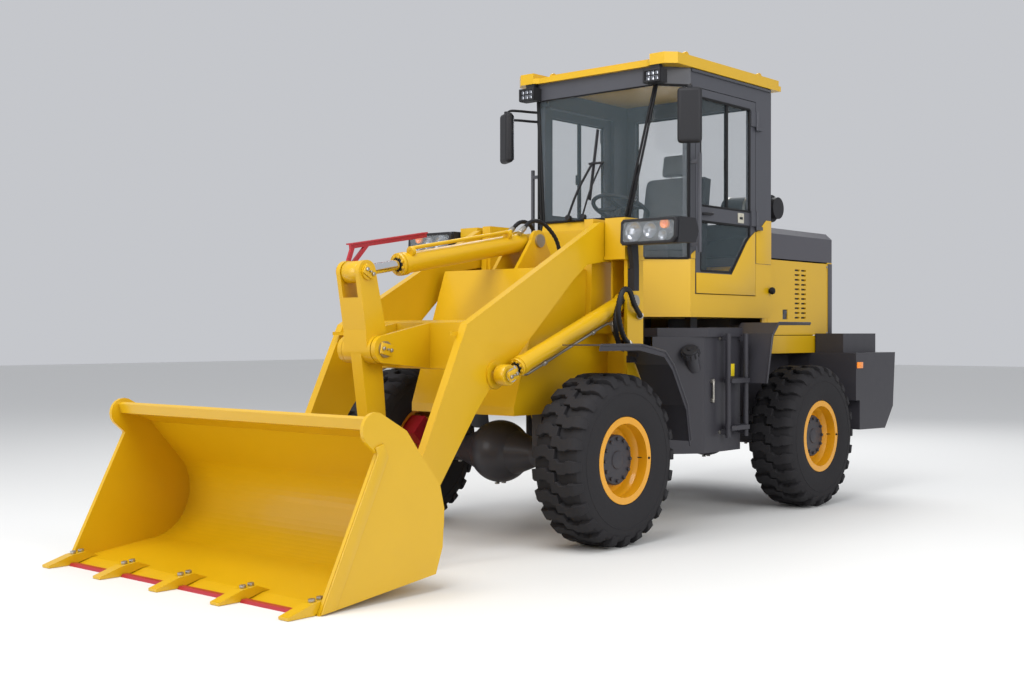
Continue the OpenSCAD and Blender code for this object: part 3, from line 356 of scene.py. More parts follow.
    @classmethod
    def ring(
            cls, name: str, points: Sequence[Flat], plane: Plane, low: float, high: float, width: float,
            bevel: float = 0.002) -> Thing:
        """A flat frame along an outline, given thickness.

        Args:
            name: The object's name.
            points: The outer outline in the plane's two axes.
            plane: Where the outline lies.
            low: Start along the third axis.
            high: End along the third axis.
            width: Width of the frame.
            bevel: Width of the rounded edges.

        Returns:
            The frame.
        """
        cls.face(points, plane, low)
        bpy.ops.mesh.inset(thickness=width)
        bpy.ops.mesh.delete(type="FACE")
        bpy.ops.mesh.select_all(action="SELECT")
        return cls.thicken(name, plane, high - low, bevel)

    @classmethod
    def lathe(
            cls, name: str, profile: Sequence[Flat], origin: Point, axis: Point, steps: int = 48,
            angle: float = 35.0) -> Thing:
        """A closed profile of (radius, height) spun about an axis.

        Args:
            name: The object's name.
            profile: Points of (radius, height along the axis).
            origin: Where the axis starts.
            axis: Its direction.
            steps: Steps in the full turn.
            angle: Edges sharper than this stay creased.

        Returns:
            The turned solid.
        """
        cls.clear()
        bpy.ops.mesh.primitive_circle_add(vertices=len(profile), radius=1, fill_type="NOTHING")
        for vertex, (radius, height) in zip(bpy.context.object.data.vertices, profile):
            vertex.co = (radius, 0.0, height)
        bpy.ops.object.mode_set(mode="EDIT")
        bpy.ops.mesh.select_all(action="SELECT")
        bpy.ops.mesh.spin(steps=steps, angle=math.tau, center=(0, 0, 0), axis=(0, 0, 1))
        bpy.ops.mesh.select_all(action="SELECT")
        bpy.ops.mesh.remove_doubles(threshold=1e-5)
        bpy.ops.mesh.dissolve_degenerate(threshold=1e-6)
        bpy.ops.object.mode_set(mode="OBJECT")
        made = bpy.context.object
        made.rotation_euler = Vector(axis).to_track_quat("Z", "Y").to_euler()
        made.location = origin
        return cls.settle(name, angle=angle)

    @staticmethod
    def smooth_path(points: Sequence[Point], steps: int = 8) -> list[Point]:
        """A smooth line through the given points.

        Args:
            points: Points to pass through.
            steps: Pieces between two points.

        Returns:
            The denser line.
        """
        p = [Vector(q) for q in points]
        p = [2 * p[0] - p[1], *p, 2 * p[-1] - p[-2]]
        line: list[Vector] = []
        for a, b, c, d in zip(p, p[1:], p[2:], p[3:]):
            for i in range(steps):
                t = i / steps
                line.append(0.5 * (2 * b + (c - a) * t + (2 * a - 5 * b + 4 * c - d) * t * t
                                   + (3 * b - a - 3 * c + d) * t ** 3))
        return [tuple(q) for q in (*line, p[-2])]

    @classmethod
    def tube(cls, name: str, path: Sequence[Point], radius: float, ribs: bool = False) -> Thing:
        """A round tube along a line, smooth or with the ribs of a spiral guard.

        Args:
            name: The object's name.
            path: Points of the centreline.
            radius: Radius of the tube.
            ribs: True for alternating thick and thin rings.

        Returns:
            The tube as a mesh.
        """
        cls.clear()
        bpy.ops.curve.primitive_nurbs_path_add()
        curve = bpy.context.object.data
        curve.splines.clear()
        line = curve.splines.new("POLY")
        line.points.add(len(path) - 1)
        for i, (point, where) in enumerate(zip(line.points, path)):
            point.co = (*where, 1.0)
            point.radius = 0.84 if ribs and i % 2 else 1.0
        curve.dimensions = "3D"
        curve.bevel_depth = radius
        curve.bevel_resolution = 3
        curve.use_fill_caps = True
        bpy.ops.object.convert(target="MESH")
        return cls.settle(name, angle=50)

    @classmethod
    def beads(cls, points: Sequence[Point], radius: float, sides: int) -> list[Thing]:
        """Straight round beads along a line of points.

        Args:
            points: The line's corners.
            radius: Radius of the beads.
            sides: Number of sides.

        Returns:
            One bead for each stretch.
        """
        return [cls.rod("bead", a, b, radius, sides, 0.002) for a, b in zip(points, points[1:])]

    @classmethod
    def join(cls, name: str, parts: Iterable[Thing]) -> Thing:
        """Joins several meshes into one object.

        Args:
            name: The joined object's name.
            parts: The meshes.

        Returns:
            The joined object.
        """
        cls.clear()
        every = list(parts)
        for part in every:
            part.select_set(True)
        bpy.context.view_layer.objects.active = every[0]
        if len(every) > 1:
            bpy.ops.object.join()
        every[0].name = every[0].data.name = name
        return every[0]

    @staticmethod
    def clone(model: Thing, place: Matrix) -> Thing:
        """Copies a mesh to another place.

        Args:
            model: The mesh to copy.
            place: Where the copy goes.

        Returns:
            The copy, with its own mesh.
        """
        copy = model.copy()
        copy.data = model.data.copy()
        copy.data.transform(place)
        bpy.context.collection.objects.link(copy)
        return copy

    @classmethod
    def repeat(cls, name: str, model: Thing, places: Sequence[Matrix]) -> Thing:
        """Copies a mesh to several places, each copy with its own mesh, and joins the copies.

        Args:
            name: The joined object's name.
            model: The mesh to copy; it is used up.
            places: One matrix for each copy.

        Returns:
            The joined object.
        """
        copies = [cls.clone(model, place) for place in places]
        bpy.data.objects.remove(model)
        return cls.join(name, copies)

    @classmethod
    def bolts(cls, name: str, heads: Sequence[Point], axis: Point, radius: float, height: float) -> Thing:
        """Hexagon heads standing on a face.

        Args:
            name: The joined object's name.
            heads: Where each head stands.
            axis: The direction that the heads point in.
            radius: Radius over the corners.
            height: Height of a head.

        Returns:
            All heads as one object.
        """
        tip = Vector(axis).normalized() * height
        head = cls.rod(f"{name}_one", (0, 0, 0), tuple(tip), radius, 6, radius * 0.15)
        return cls.repeat(name, head, [Matrix.Translation(p) for p in heads])

    @staticmethod
    def dress(piece: Thing, finish: Finish, body: str = "") -> Thing:
        """Gives a new piece its finish and the body that it rides on.

        Args:
            piece: The piece.
            finish: Its finish.
            body: The body's name, or none for a piece left unattached, such as a hose between two bodies.

        Returns:
            The piece.
        """
        piece.data.materials.clear()
        piece.data.materials.append(finish.material())
        if body:
            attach(piece, body)
        LOG.info("%s rides %s", piece.name, body or "two bodies")
        return piece


@dataclass
class Studio:
    """Camera, floor and soft light."""

    place: Point = (6.4095, 5.150, 1.183)
    yaw: float = 220.7165
    pitch: float = -0.392
    lens: float = 46.1
    floor_half: float = 40.0

    def build(self) -> None:
        """Sets up the camera, the floor, the lights and the world."""
        Shop.clear()
        bpy.ops.object.camera_add(
            location=self.place, rotation=(math.radians(90 + self.pitch), 0, math.radians(self.yaw - 90)))
        camera = bpy.context.object
        camera.data.lens = self.lens
        camera.data.sensor_width = 36.0
        bpy.context.scene.camera = camera
        bpy.ops.mesh.primitive_plane_add(size=2 * self.floor_half, location=(0, 0, 0))
        floor = bpy.context.object
        floor.name = "studio_floor"
        floor.data.materials.append(Finish("floor", "", (226, 226, 224), 0.6, uneven=0.0).material())
        self.light("key", (4.5, 1.0, 7.5), (0.2, 0, 1.0), 5.0, 440)
        self.light("side", (1.5, 8.0, 4.5), (0, 0, 1.2), 5.0, 300)
        self.light("front", (8.5, -2.0, 3.0), (1.0, 0, 0.8), 4.0, 185)
        self.light("back", (-6.5, -3.0, 6.0), (-0.5, 0, 1.5), 5.0, 290)
        world = bpy.context.scene.world or bpy.data.worlds.new("studio")
        bpy.context.scene.world = world
        world.use_nodes = True
        sky = world.node_tree.nodes["Background"]
        sky.inputs["Color"].default_value = (0.93, 0.95, 1.0, 1.0)
        sky.inputs["Strength"].default_value = 0.6
        bpy.context.scene.view_settings.view_transform = "Standard"

    def light(self, name: str, place: Point, aim: Point, size: float, power: float) -> None:
        """Adds one soft box.

        Args:
            name: The light's name.
            place: Where it hangs.
            aim: The point that it faces.
            size: Its edge in metres.
            power: Its power in watts.
        """
        turn = (Vector(aim) - Vector(place)).to_track_quat("-Z", "Y").to_euler()
        bpy.ops.object.light_add(type="AREA", location=place, rotation=turn)
        lamp = bpy.context.object
        lamp.name = name
        lamp.data.size = size
        lamp.data.energy = power


@dataclass
class Painter:
    """Repaints the CAD nodes."""

    plan: dict[Finish, str] = field(default_factory=lambda: {
        Paint.YELLOW: "front_frame boom bucket bucket_teeth link rocker lift_barrel_left lift_barrel_right "
                      "tilt_barrel steer_barrel_left steer_barrel_right hood_frame cab_base cab_roof "
                      "engine_door_left engine_door_right",
        Paint.GREY: "rear_frame rear_axle front_axle powertrain counterweight side_tanks steps rear_fenders "
                    "front_fenders",
        Paint.PALE: "hood_top",
        Paint.BLACK: "cab_frame door_left door_right",
        Paint.RED: "front_brakes rear_brakes level_bar edge_strips",
        Paint.STEEL: "frame_pins bucket_pins rocker_pin link_pin",
        Paint.CHROME: "lift_rod_left lift_rod_right tilt_rod steer_rod_left steer_rod_right",
        Paint.RIM: "rim_front_left rim_front_right rim_rear_left rim_rear_right",
        Paint.TYRE: "tyre_front_left tyre_front_right tyre_rear_left tyre_rear_right",
        Paint.GLASS: "cab_glass door_glass_left door_glass_right",
        Paint.PLASTIC: "dashboard mirrors work_lamps headlamps air_cleaner",
        Paint.VINYL: "seat",
    })

    def build(self) -> None:
        """Puts each finish on its nodes."""
        for finish, names in self.plan.items():
            for name in names.split():
                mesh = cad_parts[name].data
                mesh.materials.clear()
                mesh.materials.append(finish.material())


@dataclass
class Wheels:
    """Tyres with stepped block lugs, hub covers with bolts, and valve stems."""

    radius: float = 0.48
    track: float = 0.775
    lugs: int = 24
    lug_depth: float = 0.034
    hub_radius: float = 0.1405
    hub_face: float = 0.0835
    bolt_circle: float = 0.117
    bolt_count: int = 12
    stations: tuple[tuple[float, float, float, float], ...] = (
        (-0.016, -0.28, 0.20, 0.480), (0.030, -0.28, 0.20, 0.480), (0.042, -0.14, 0.36, 0.480),
        (0.084, -0.14, 0.36, 0.480), (0.098, -0.24, 0.28, 0.4795), (0.126, -0.24, 0.28, 0.477),
        (0.149, -0.22, 0.26, 0.461), (0.1605, -0.17, 0.21, 0.420))

    def carcass(self) -> Thing:
        """Spins the tyre's casing with its sidewall ring about +Y.

        Returns:
            The casing.
        """
        side = [(0.2285, 0.130), (0.2425, 0.130), (0.2455, 0.1435), (0.262, 0.1495), (0.29, 0.1565),
                (0.32, 0.1595), (0.352, 0.1597), (0.372, 0.1592), (0.3735, 0.1612), (0.3775, 0.1612),
                (0.379, 0.1588), (0.402, 0.1560), (0.424, 0.1500), (0.440, 0.1400), (0.449, 0.1230),
                (0.4525, 0.0980), (0.4545, 0.05)]
        profile = [*side, *[(r, -a) for r, a in reversed(side)]]
        return Shop.lathe("casing", profile, (0, 0, 0), (0, 1, 0), 96, 30)

    def lug(self) -> Thing:
        """One stepped block, drawn as a strip on the tread and given its depth.

        Returns:
            The block.
        """
        Shop.clear()
        rows = len(self.stations)
        bpy.ops.mesh.primitive_grid_add(x_subdivisions=1, y_subdivisions=rows - 1, size=1)
        mesh = bpy.context.object.data
        pitch = math.tau / self.lugs
        for i, (across, start, stop, radius) in enumerate(self.stations):
            for j, turn in enumerate((start, stop)):
                angle = turn * pitch
                mesh.vertices[i * 2 + j].co = (radius * math.sin(angle), across, radius * math.cos(angle))
        depth = bpy.context.object.modifiers.new("depth", "SOLIDIFY")
        depth.thickness = self.lug_depth
        depth.offset = 1.0 if mesh.polygons[0].normal.z < 0 else -1.0
        bpy.ops.object.modifier_apply(modifier=depth.name)
        return Shop.settle("lug", 0.0025, 1, 40)

    def tyre(self) -> Thing:
        """A whole tyre at the origin, its axle along Y.

        Returns:
            The casing and its blocks as one object.
        """
        pitch = math.tau / self.lugs
        places = [Matrix.Rotation(i * pitch, 4, "Y") for i in range(self.lugs)]
        flip = Matrix.Rotation(math.pi, 4, "Z")
        places += [Matrix.Rotation((i + 0.5) * pitch, 4, "Y") @ flip for i in range(self.lugs)]
        tread = Shop.repeat("tread", self.lug(), places)
        return Shop.join("tyre_model", [self.carcass(), tread])

    def hub(self) -> Thing:
        """The dark hub cover at the origin, its face towards +Y.

        Returns:
            The cover with its bolts.
        """
        r, f = self.hub_radius, self.hub_face
        profile = [
            (0, 0.0365), (r, 0.0365), (r, f - 0.010), (r - 0.006, f - 0.003), (r - 0.04, f), (0.052, f),
            (0.048, f + 0.006), (0.030, f + 0.009), (0, f + 0.009)]
        cover = Shop.lathe("cover", profile, (0, 0, 0), (0, 1, 0), 48)
        first = Vector((self.bolt_circle, f - 0.004, 0))
        ring = [tuple(Matrix.Rotation(i * math.tau / self.bolt_count, 4, "Y") @ first)
                for i in range(self.bolt_count)]
        return Shop.join("hub_model", [cover, Shop.bolts("hub_bolts", ring, (0, 1, 0), 0.011, 0.014)])

    def valve(self) -> Thing:
        """A bent valve stem on the rim, at the origin wheel.

        Returns:
            The stem with its cap.
        """
        path = Shop.smooth_path(
            [(-0.204, 0.050, 0), (-0.206, 0.085, 0), (-0.210, 0.118, 0), (-0.217, 0.138, 0)])
        cap = Shop.rod("valve_cap", (-0.214, 0.130, 0), (-0.222, 0.150, 0), 0.0065, 12)
        return Shop.join("valve_model", [Shop.tube("stem", path, 0.004), cap])

    def build(self) -> None:
        """Puts a tyre, a hub cover and a valve stem on each wheel."""
        models = {"tyre": (self.tyre(), Paint.TYRE), "hub_cover": (self.hub(), Paint.GREY),
                  "valve_stem": (self.valve(), Paint.RUBBER)}
        for end, x in (("front", FRONT_X), ("rear", REAR_X)):
            for hand, sign in HANDS.items():
                place = Matrix.Translation((x, sign * self.track, self.radius))
                if sign < 0:
                    place = place @ Matrix.Rotation(math.pi, 4, "Z")
                for kind, (model, finish) in models.items():
                    copy = Shop.clone(model, place)
                    copy.name = copy.data.name = f"{kind}_{end}_{hand}_dressed"
                    Shop.dress(copy, finish, f"wheel_{end}_{hand}")
                    if kind == "tyre":
                        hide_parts(f"tyre_{end}_{hand}")
        for model, _ in models.values():
            bpy.data.objects.remove(model)


@dataclass
class BucketTrim:
    """Edge doublers on the bucket's side plates and bolts on its teeth."""

    half: float = 980.0
    plate: float = 9.0
    tip_x: float = 2265.0
    teeth: int = 5
    tooth_span: float = 1856.0

    def doublers(self) -> Thing:
        """The two bands along the front edges of the side plates.

        Returns:
            Both bands as one object.
        """
        band = ((self.tip_x - 4, 6), (1936, 652), (1950, 684), (1900, 700), (1872, 640), (2178, 12))
        parts = [Shop.plate("doubler", band, sign, self.half, self.half + self.plate, 0.003)
                 for sign in HANDS.values()]
        return Shop.join("bucket_edge_doublers", parts)

    def bolt_heads(self) -> Thing:
        """Two bolts on each tooth's root.

        Returns:
            All bolts as one object.
        """
        spots = [at(self.tip_x + dx, (i / (self.teeth - 1) - 0.5) * self.tooth_span, z)
                 for i in range(self.teeth) for dx, z in ((-48, 58), (-4, 54))]
        return Shop.bolts("tooth_bolts", spots, (0.1, 0, 1), 0.017, 0.014)

    def build(self) -> None:
        """Adds the trim to the bucket."""
        Shop.dress(self.doublers(), Paint.YELLOW, "bucket")
        Shop.dress(self.bolt_heads(), Paint.STEEL, "bucket")


@dataclass
class Linkage:
    """Pin keepers, cylinder glands, painted rod eyes, steel pipes and hoses of the loader linkage."""

    lift_base: Flat = (-450, 1370)
    lift_eye: Flat = (620, 960)
    tilt_base: Flat = (-240, 1740)
    tilt_eye: Flat = (1160, 1505)
    lift_y: float = 574.0
    lift_d: float = 95.0
    tilt_d: float = 114.0
    lift_end: float = 1025.9
    tilt_end: float = 1089.6
    lift_bore: float = 26.0
    tilt_bore: float = 31.0
    keeper: float = 9.0
    hose_r: float = 0.0135
    guard_r: float = 0.017

    def keep(self, name: str, where: Flat, y: float, sign: float, turn: float, size: float) -> list[Thing]:
        """A keeper plate on a pin's end with two bolts.

        Args:
            name: The plate's name.
            where: The pin's place in the side plane.
            y: Distance of the plate's inner face from the centre plane.
            sign: 1 for the left side, -1 for the right.
            turn: Turn of the plate in degrees.
            size: Longer edge of the plate.

        Returns:
            The plate, and its bolts with the grease nipple.
        """
        c, s = math.cos(math.radians(turn)), math.sin(math.radians(turn))

        def spin(u: float, v: float) -> Flat:
            """A point of the plate, turned with it about the pin."""
            return where[0] + u * c - v * s, where[1] + u * s + v * c

        h = size / 2
        k = h * 0.7
        corners = [spin(u, v) for u, v in ((-h, -k), (h, -k), (h, k), (-h, k))]
        plate = Shop.plate(name, corners, sign, y, y + self.keeper, 0.003)
        face = sign * (y + self.keeper - 0.5)
        heads = [at(x, face, z) for x, z in (spin(-h * 0.62, 0), spin(h * 0.62, 0))]
        bolts = Shop.bolts(f"{name}_bolts", heads, (0, sign, 0), 0.011, 0.011)
        nipple = Shop.bolts(f"{name}_nipple", [at(where[0], face, where[1])], (0, sign, 0), 0.006, 0.014)
        return [plate, Shop.join(f"{name}_fixings", [bolts, nipple])]

    def keepers(self) -> None:
        """Puts a keeper on the outer pin ends, and one on the left of the tilt rod's eye."""
        for hand, sign in HANDS.items():
            for name, where, y, turn, body, size in (
                    ("rocker_keeper", (1090, 1097), 157.0, 12, "boom", 86),
                    ("tilt_eye_keeper", self.tilt_eye, 100.5, 30, "rocker", 78),
                    ("bucket_keeper", (1300, 240), 552.0, -40, "boom", 84),
                    ("link_keeper", (1460, 417), 108.5, 20, "bucket", 64),
                    ("lift_eye_keeper", self.lift_eye, 628.5, -20, f"lift_rod_{hand}", 76),
                    ("tower_keeper", (-420, 1720), 655.5, 0, "front", 104)):
                if name == "tilt_eye_keeper" and sign < 0:
                    continue
                plate, fixings = self.keep(f"{name}_{hand}", where, y, sign, turn, size)
                Shop.dress(plate, Paint.YELLOW, body)
                Shop.dress(fixings, Paint.STEEL, body)

    def along(self, start: Flat, end: Flat, s: float, off: float, y: float) -> Point:
        """A point beside a cylinder's axis.

        Args:
            start: The cylinder's base.
            end: Its rod eye.
            s: Distance from the base.
            off: Distance above the axis, across it.
            y: Distance from the centre plane.

        Returns:
            The point in the row frame.
        """
        u = (Vector(end) - Vector(start)).normalized()
        p = Vector(start) + u * s + Vector((-u.y, u.x)) * off
        return at(p.x, y, p.y)

    def lift(self, s: float, off: float, sign: float) -> Point:
        """A point beside the axis of the lift cylinder on one side."""
        return self.along(self.lift_base, self.lift_eye, s, off, sign * self.lift_y)

    def gland(
            self, name: str, start: Flat, end: Flat, s: float, y: float, radius: float,
            bore: float) -> list[Thing]:
        """A gland ring round a rod with a circle of bolts, and its wiper seal.

        Args:
            name: The gland's name.
            start: The cylinder's base.
            end: Its rod eye.
            s: Where the barrel ends.
            y: Distance from the centre plane.
            radius: The barrel's radius.
            bore: The rod's radius.

        Returns:
            The ring with its bolts, and the seal.
        """
        tip = Vector(self.along(start, end, s, 0, y))
        axis = (Vector(self.along(start, end, s + 1000, 0, y)) - tip).normalized()
        across = Vector((0, 1, 0))
        side = axis.cross(across)
        r, b = radius * MM, bore * MM + 0.0015
        ring = Shop.lathe(name, [
            (b, 0.0005), (r * 1.06, 0.0005), (r * 1.1, 0.004), (r * 1.1, 0.015), (r * 1.04, 0.019),
            (b, 0.019)], tuple(tip), tuple(axis), 48)
        spots = [tuple(tip + axis * 0.0185 + (side * math.cos(a) + across * math.sin(a)) * (r + b) / 2)
                 for a in (math.tau * (i + 0.5) / 8 for i in range(8))]
        heads = Shop.bolts(f"{name}_heads", spots, tuple(axis), min(0.009, (r - b) * 0.36), 0.008)
        seal = Shop.lathe(f"{name}_seal", [(b, 0.019), (b + 0.007, 0.019), (b + 0.004, 0.027), (b, 0.027)],
                          tuple(tip), tuple(axis), 40)
        return [Shop.join(name, [ring, heads]), seal]

    def glands(self) -> None:
        """Adds the glands of the lift and tilt cylinders."""
        jobs = [(f"lift_gland_{hand}", self.lift_base, self.lift_eye, self.lift_end, sign * self.lift_y,
                 self.lift_d / 2, self.lift_bore, f"lift_barrel_{hand}") for hand, sign in HANDS.items()]
        jobs.append(("tilt_gland", self.tilt_base, self.tilt_eye, self.tilt_end, 0.0,
                     self.tilt_d / 2, self.tilt_bore, "tilt_barrel"))
        for name, start, end, s, y, radius, bore, body in jobs:
            ring, seal = self.gland(name, start, end, s, y, radius, bore)
            Shop.dress(ring, Paint.YELLOW, body)
            Shop.dress(seal, Paint.RUBBER, body)

    def sleeves(self) -> None:
        """Painted rod eyes round the pins of the lift and tilt rods."""
        jobs = [(f"lift_rod_{hand}", self.lift_eye, sign * self.lift_y, 33.5, 52.0)
                for hand, sign in HANDS.items()]
        jobs.append(("tilt_rod", self.tilt_eye, 0.0, 52.5, 55.0))
        for body, (x, z), y, half, radius in jobs:
            r, h, t = radius * MM, half * MM, 0.0004
            inner, edge, outer = r - 0.022, r + 0.002, r + 0.004
            profile = [
                (inner, -h), (edge, -h), (outer, -h + 0.003), (outer, h - 0.003), (edge, h), (inner, h),
                (inner, h - t), (r + t, h - t), (r + t, -h + t), (inner, -h + t)]
            Shop.dress(Shop.lathe(f"{body}_eye", profile, at(x, y, z), (0, 1, 0), 48), Paint.YELLOW, body)

    def pipes(self) -> None:
        """Steel pipes under the lift cylinders, held by clamps, from the base to the gland."""
        off = -(self.lift_d / 2 + 17)
        for hand, sign in HANDS.items():
            run = [self.lift(s, off + rise, sign) for s, rise in (
                (150, -22), (185, -6), (240, 0), (600, 0), (930, 0), (985, 4), (1004, 24))]
            parts = [Shop.tube("pipe", Shop.smooth_path(run, 6), 0.0085)]
            for kind, start, end, radius, sides in (
                    ("clamp", (330, 0), (356, 0), 0.0145, 16), ("clamp", (800, 0), (826, 0), 0.0145, 16),
                    ("nut", (140, -26), (168, -12), 0.015, 6), ("port", (1004, 8), (1004, 34), 0.016, 6)):
                ends = [self.lift(s, off + rise, sign) for s, rise in (start, end)]
                parts.append(Shop.rod(kind, *ends, radius, sides, 0.002))
            Shop.dress(Shop.join(f"lift_pipe_{hand}", parts), Paint.STEEL, f"lift_barrel_{hand}")

    def hose(self, name: str, points: Sequence[Point], first: str, last: str, radius: float) -> None:
        """A guarded hose between two bodies, with a crimped fitting at each end.

        Args:
            name: The hose's name.
            points: Points that it passes through, first to last.
            first: The body at its start.
            last: The body at its end, or the same body.
            radius: The hose's radius.
        """
        path = Shop.smooth_path(points, 10)
        piece = Shop.tube(name, path, radius, True)
        Shop.dress(piece, Paint.HOSE, first if first == last else "")
        for end, a, b, body in (("start", path[0], path[3], first), ("end", path[-1], path[-4], last)):
            foot = Vector(a)
            axis = (Vector(b) - foot).normalized()
            parts = [Shop.rod(kind, tuple(foot + axis * low), tuple(foot + axis * high), radius * wide, sides,
                              0.002)
                     for kind, low, high, wide, sides in (
                         ("crimp", -0.004, 0.042, 1.22, 20), ("hex", -0.02, 0.006, 1.36, 6))]
            Shop.dress(Shop.join(f"{name}_{end}_fitting", parts), Paint.STEEL, body)
        if first != last:
            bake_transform(piece)

    def hoses(self) -> None:
        """Hoses on the towers, from them to the lift cylinders, and from the frame to the tilt cylinder."""
        short = ((-520, 568, 1130), (-475, 569, 1126), (-410, 571, 1138), (-366, 573, 1180))
        inner = ((-520, 612, 1090), (-450, 612, 1078), (-345, 624, 1112), (-292, 634, 1220),
                 (-318, 630, 1330), (-420, 616, 1392), (-520, 612, 1400))
        outer = ((-512, 650, 1284), (-460, 686, 1292), (-380, 704, 1350), (-330, 706, 1425),
                 (-272, 704, 1430), (-238, 698, 1360), (-246, 690, 1270), (-310, 676, 1165),
                 (-420, 650, 1108))
        for hand, sign in HANDS.items():
            port = self.lift(146, -(self.lift_d / 2 + 40), sign)
            run = [*handed(short, sign), port]
            self.hose(f"lift_hose_{hand}", run, "front", f"lift_barrel_{hand}", self.hose_r)
            self.hose(f"tower_hose_{hand}", handed(inner, sign), "front", "front", self.guard_r)
            self.hose(f"tower_hose_outer_{hand}", handed(outer, sign), "front", "front", self.guard_r)
        for k, y in enumerate((-46.0, 46.0)):
            top = self.along(self.tilt_base, self.tilt_eye, 96, 70, y)
            run = [at(-430, y * 2.0, 1560), at(-455, y * 2.0, 1640), at(-430, y * 1.7, 1760),
                   at(-340, y * 1.2, 1850), at(-235, y, 1860), top]
            self.hose(f"tilt_hose_{k + 1}", run, "front", "tilt_barrel", self.hose_r)

    def build(self) -> None:
        """Adds all linkage fittings."""
        self.keepers()
        self.glands()
        self.sleeves()
        self.pipes()
        self.hoses()


@dataclass
class Lamps:
    """Headlamp bezels, reflectors and lenses, work lamp cells and rear lamps."""

    face_x: float = -310.0
    inner_y: float = 673.0
    width: float = 390.0
    middle_z: float = 1765.0
    height: float = 150.0
    depth: float = 26.0
    slant: float = 0.0667
    facing: Point = (1, 0, 0.067)
    rear_facing: Point = (-1, 0, -0.085)

    def bowl(self, name: str, y: float, z: float, radius: float) -> Thing:
        """A reflector bowl facing forward.

        Args:
            name: The bowl's name.
            y: Its place across.
            z: Its height.
            radius: Its radius in mm.

        Returns:
            The bowl with its bulb.
        """
        r, d = radius * MM, (self.depth - 6) * MM
        origin = at(self.face_x + 5 + (z - self.middle_z) * -self.slant, y, z)
        dish = [(0, 0.003), (r * 0.3, 0.0045), (r * 0.62, 0.009), (r * 0.86, d * 0.72), (r * 0.93, d), (r, d),
                (r, 0), (0, 0)]
        glass = [(0, 0.002), (r * 0.16, 0.003), (r * 0.16, 0.012), (r * 0.1, 0.016), (0, 0.0165)]
        shell = Shop.lathe(name, dish, origin, self.facing, 40)
        bulb = Shop.lathe("bulb", glass, origin, self.facing, 20)
        return Shop.join(name, [shell, bulb])

    def headlamp(self, hand: str, sign: float) -> None:
        """Dresses one headlamp.

        Args:
            hand: "left" or "right".
            sign: 1 for the left side, -1 for the right.
        """
        y0, y1 = self.inner_y, self.inner_y + self.width
        z0, z1 = self.middle_z - self.height / 2, self.middle_z + self.height / 2
        corners = ((y0 + 4, z0 + 14), (y0 + 20, z0 + 1), (y1 - 34, z0 + 1), (y1 - 3, z0 + 34),
                   (y1 - 3, z1 - 20), (y1 - 20, z1 - 2), (y0 + 20, z1 - 2), (y0 + 4, z1 - 18))
        ring = [(sign * y * MM, z * MM) for y, z in corners]
        bezel = Shop.ring(f"headlamp_bezel_{hand}", ring, Plane.FRONT, 0.0, self.depth * MM, 0.016)
        lens = Shop.outline(f"headlamp_lens_{hand}", self.shrink(ring, 0.015), Plane.FRONT,
                            (self.depth - 6) * MM, (self.depth - 2) * MM, 0.0012)
        back = (self.face_x + 5) * MM + FRONT_X
        for piece in (bezel, lens):
            for vertex in piece.data.vertices:
                vertex.co.x += back - (vertex.co.z - self.middle_z * MM) * self.slant
        Shop.dress(bezel, Paint.PLASTIC, "front")
        Shop.dress(lens, Paint.LENS, "front")
        z = self.middle_z
        bowls = [self.bowl("bowl", sign * (y0 + dy), z + dz, radius)
                 for dy, dz, radius in ((92, 0, 58), (205, 2, 46), (292, -30, 30))]
        Shop.dress(Shop.join(f"headlamp_bowls_{hand}", bowls), Paint.SILVER, "front")
        Shop.dress(self.bowl(f"indicator_bowl_{hand}", sign * (y0 + 300), z + 36, 27), Paint.AMBER, "front")

    @staticmethod
    def shrink(points: Sequence[Flat], by: float) -> list[Flat]:
        """The outline drawn in towards its middle.

        Args:
            points: The outline.
            by: How far it is drawn in.

        Returns:
            The smaller outline.
        """
        low, high = ([pick(p[i] for p in points) for i in (0, 1)] for pick in (min, max))
        middle = [(a + b) / 2 for a, b in zip(low, high)]
        half = [(b - a) / 2 for a, b in zip(low, high)]
        return [tuple(middle[i] + (p[i] - middle[i]) * (1 - by / half[i]) for i in (0, 1)) for p in points]

    def work_lamps(self) -> None:
        """Six bright cells behind a rimmed cover on each roof lamp."""
        x, pitch = PIVOT_MM + 288, 34
        for hand, sign in HANDS.items():
            cells = [Shop.box("cell", at(x - 1, sign * (462 + pitch * j), 2747 + pitch * k),
                              at(x + 5, sign * (490 + pitch * j), 2775 + pitch * k), 0.005)
                     for j in range(3) for k in range(2)]
            Shop.dress(Shop.join(f"work_lamp_cells_{hand}", cells), Paint.SILVER, "rear")
            rim = [(sign * y * MM, z * MM) for y, z in ((442, 2737), (568, 2737), (568, 2818), (442, 2818))]
            edge = Shop.ring(f"work_lamp_rim_{hand}", rim, Plane.FRONT, (x - 2) * MM + FRONT_X,
                             (x + 12) * MM + FRONT_X, 0.012)
            Shop.dress(edge, Paint.PLASTIC, "rear")

    def rear_lamps(self) -> None:
        """Tail and turn lamps on the counterweight's rear face, and a small amber one on each side."""
        dome = [(0, 0), (0.040, 0), (0.042, 0.004), (0.040, 0.010), (0.028, 0.0145), (0, 0.016)]
        rim = [(0.0425, -0.002), (0.052, -0.002), (0.051, 0.008), (0.0425, 0.009)]
        for hand, sign in HANDS.items():
            for name, y, finish in (("tail_lamp", 700, Paint.TAIL), ("turn_lamp", 600, Paint.AMBER)):
                base = at(REAR_MM - 1200, sign * y, 985)
                Shop.dress(Shop.lathe(f"{name}_{hand}", dome, base, self.rear_facing, 32), finish, "rear")
                edge = Shop.lathe(f"{name}_rim_{hand}", rim, base, self.rear_facing, 32)
                Shop.dress(edge, Paint.RUBBER, "rear")
            mark = Shop.box(f"side_marker_{hand}", at(-2930, sign * 900, 930),
                            at(-2840, sign * 908, 975), 0.004)
            Shop.dress(mark, Paint.AMBER, "rear")

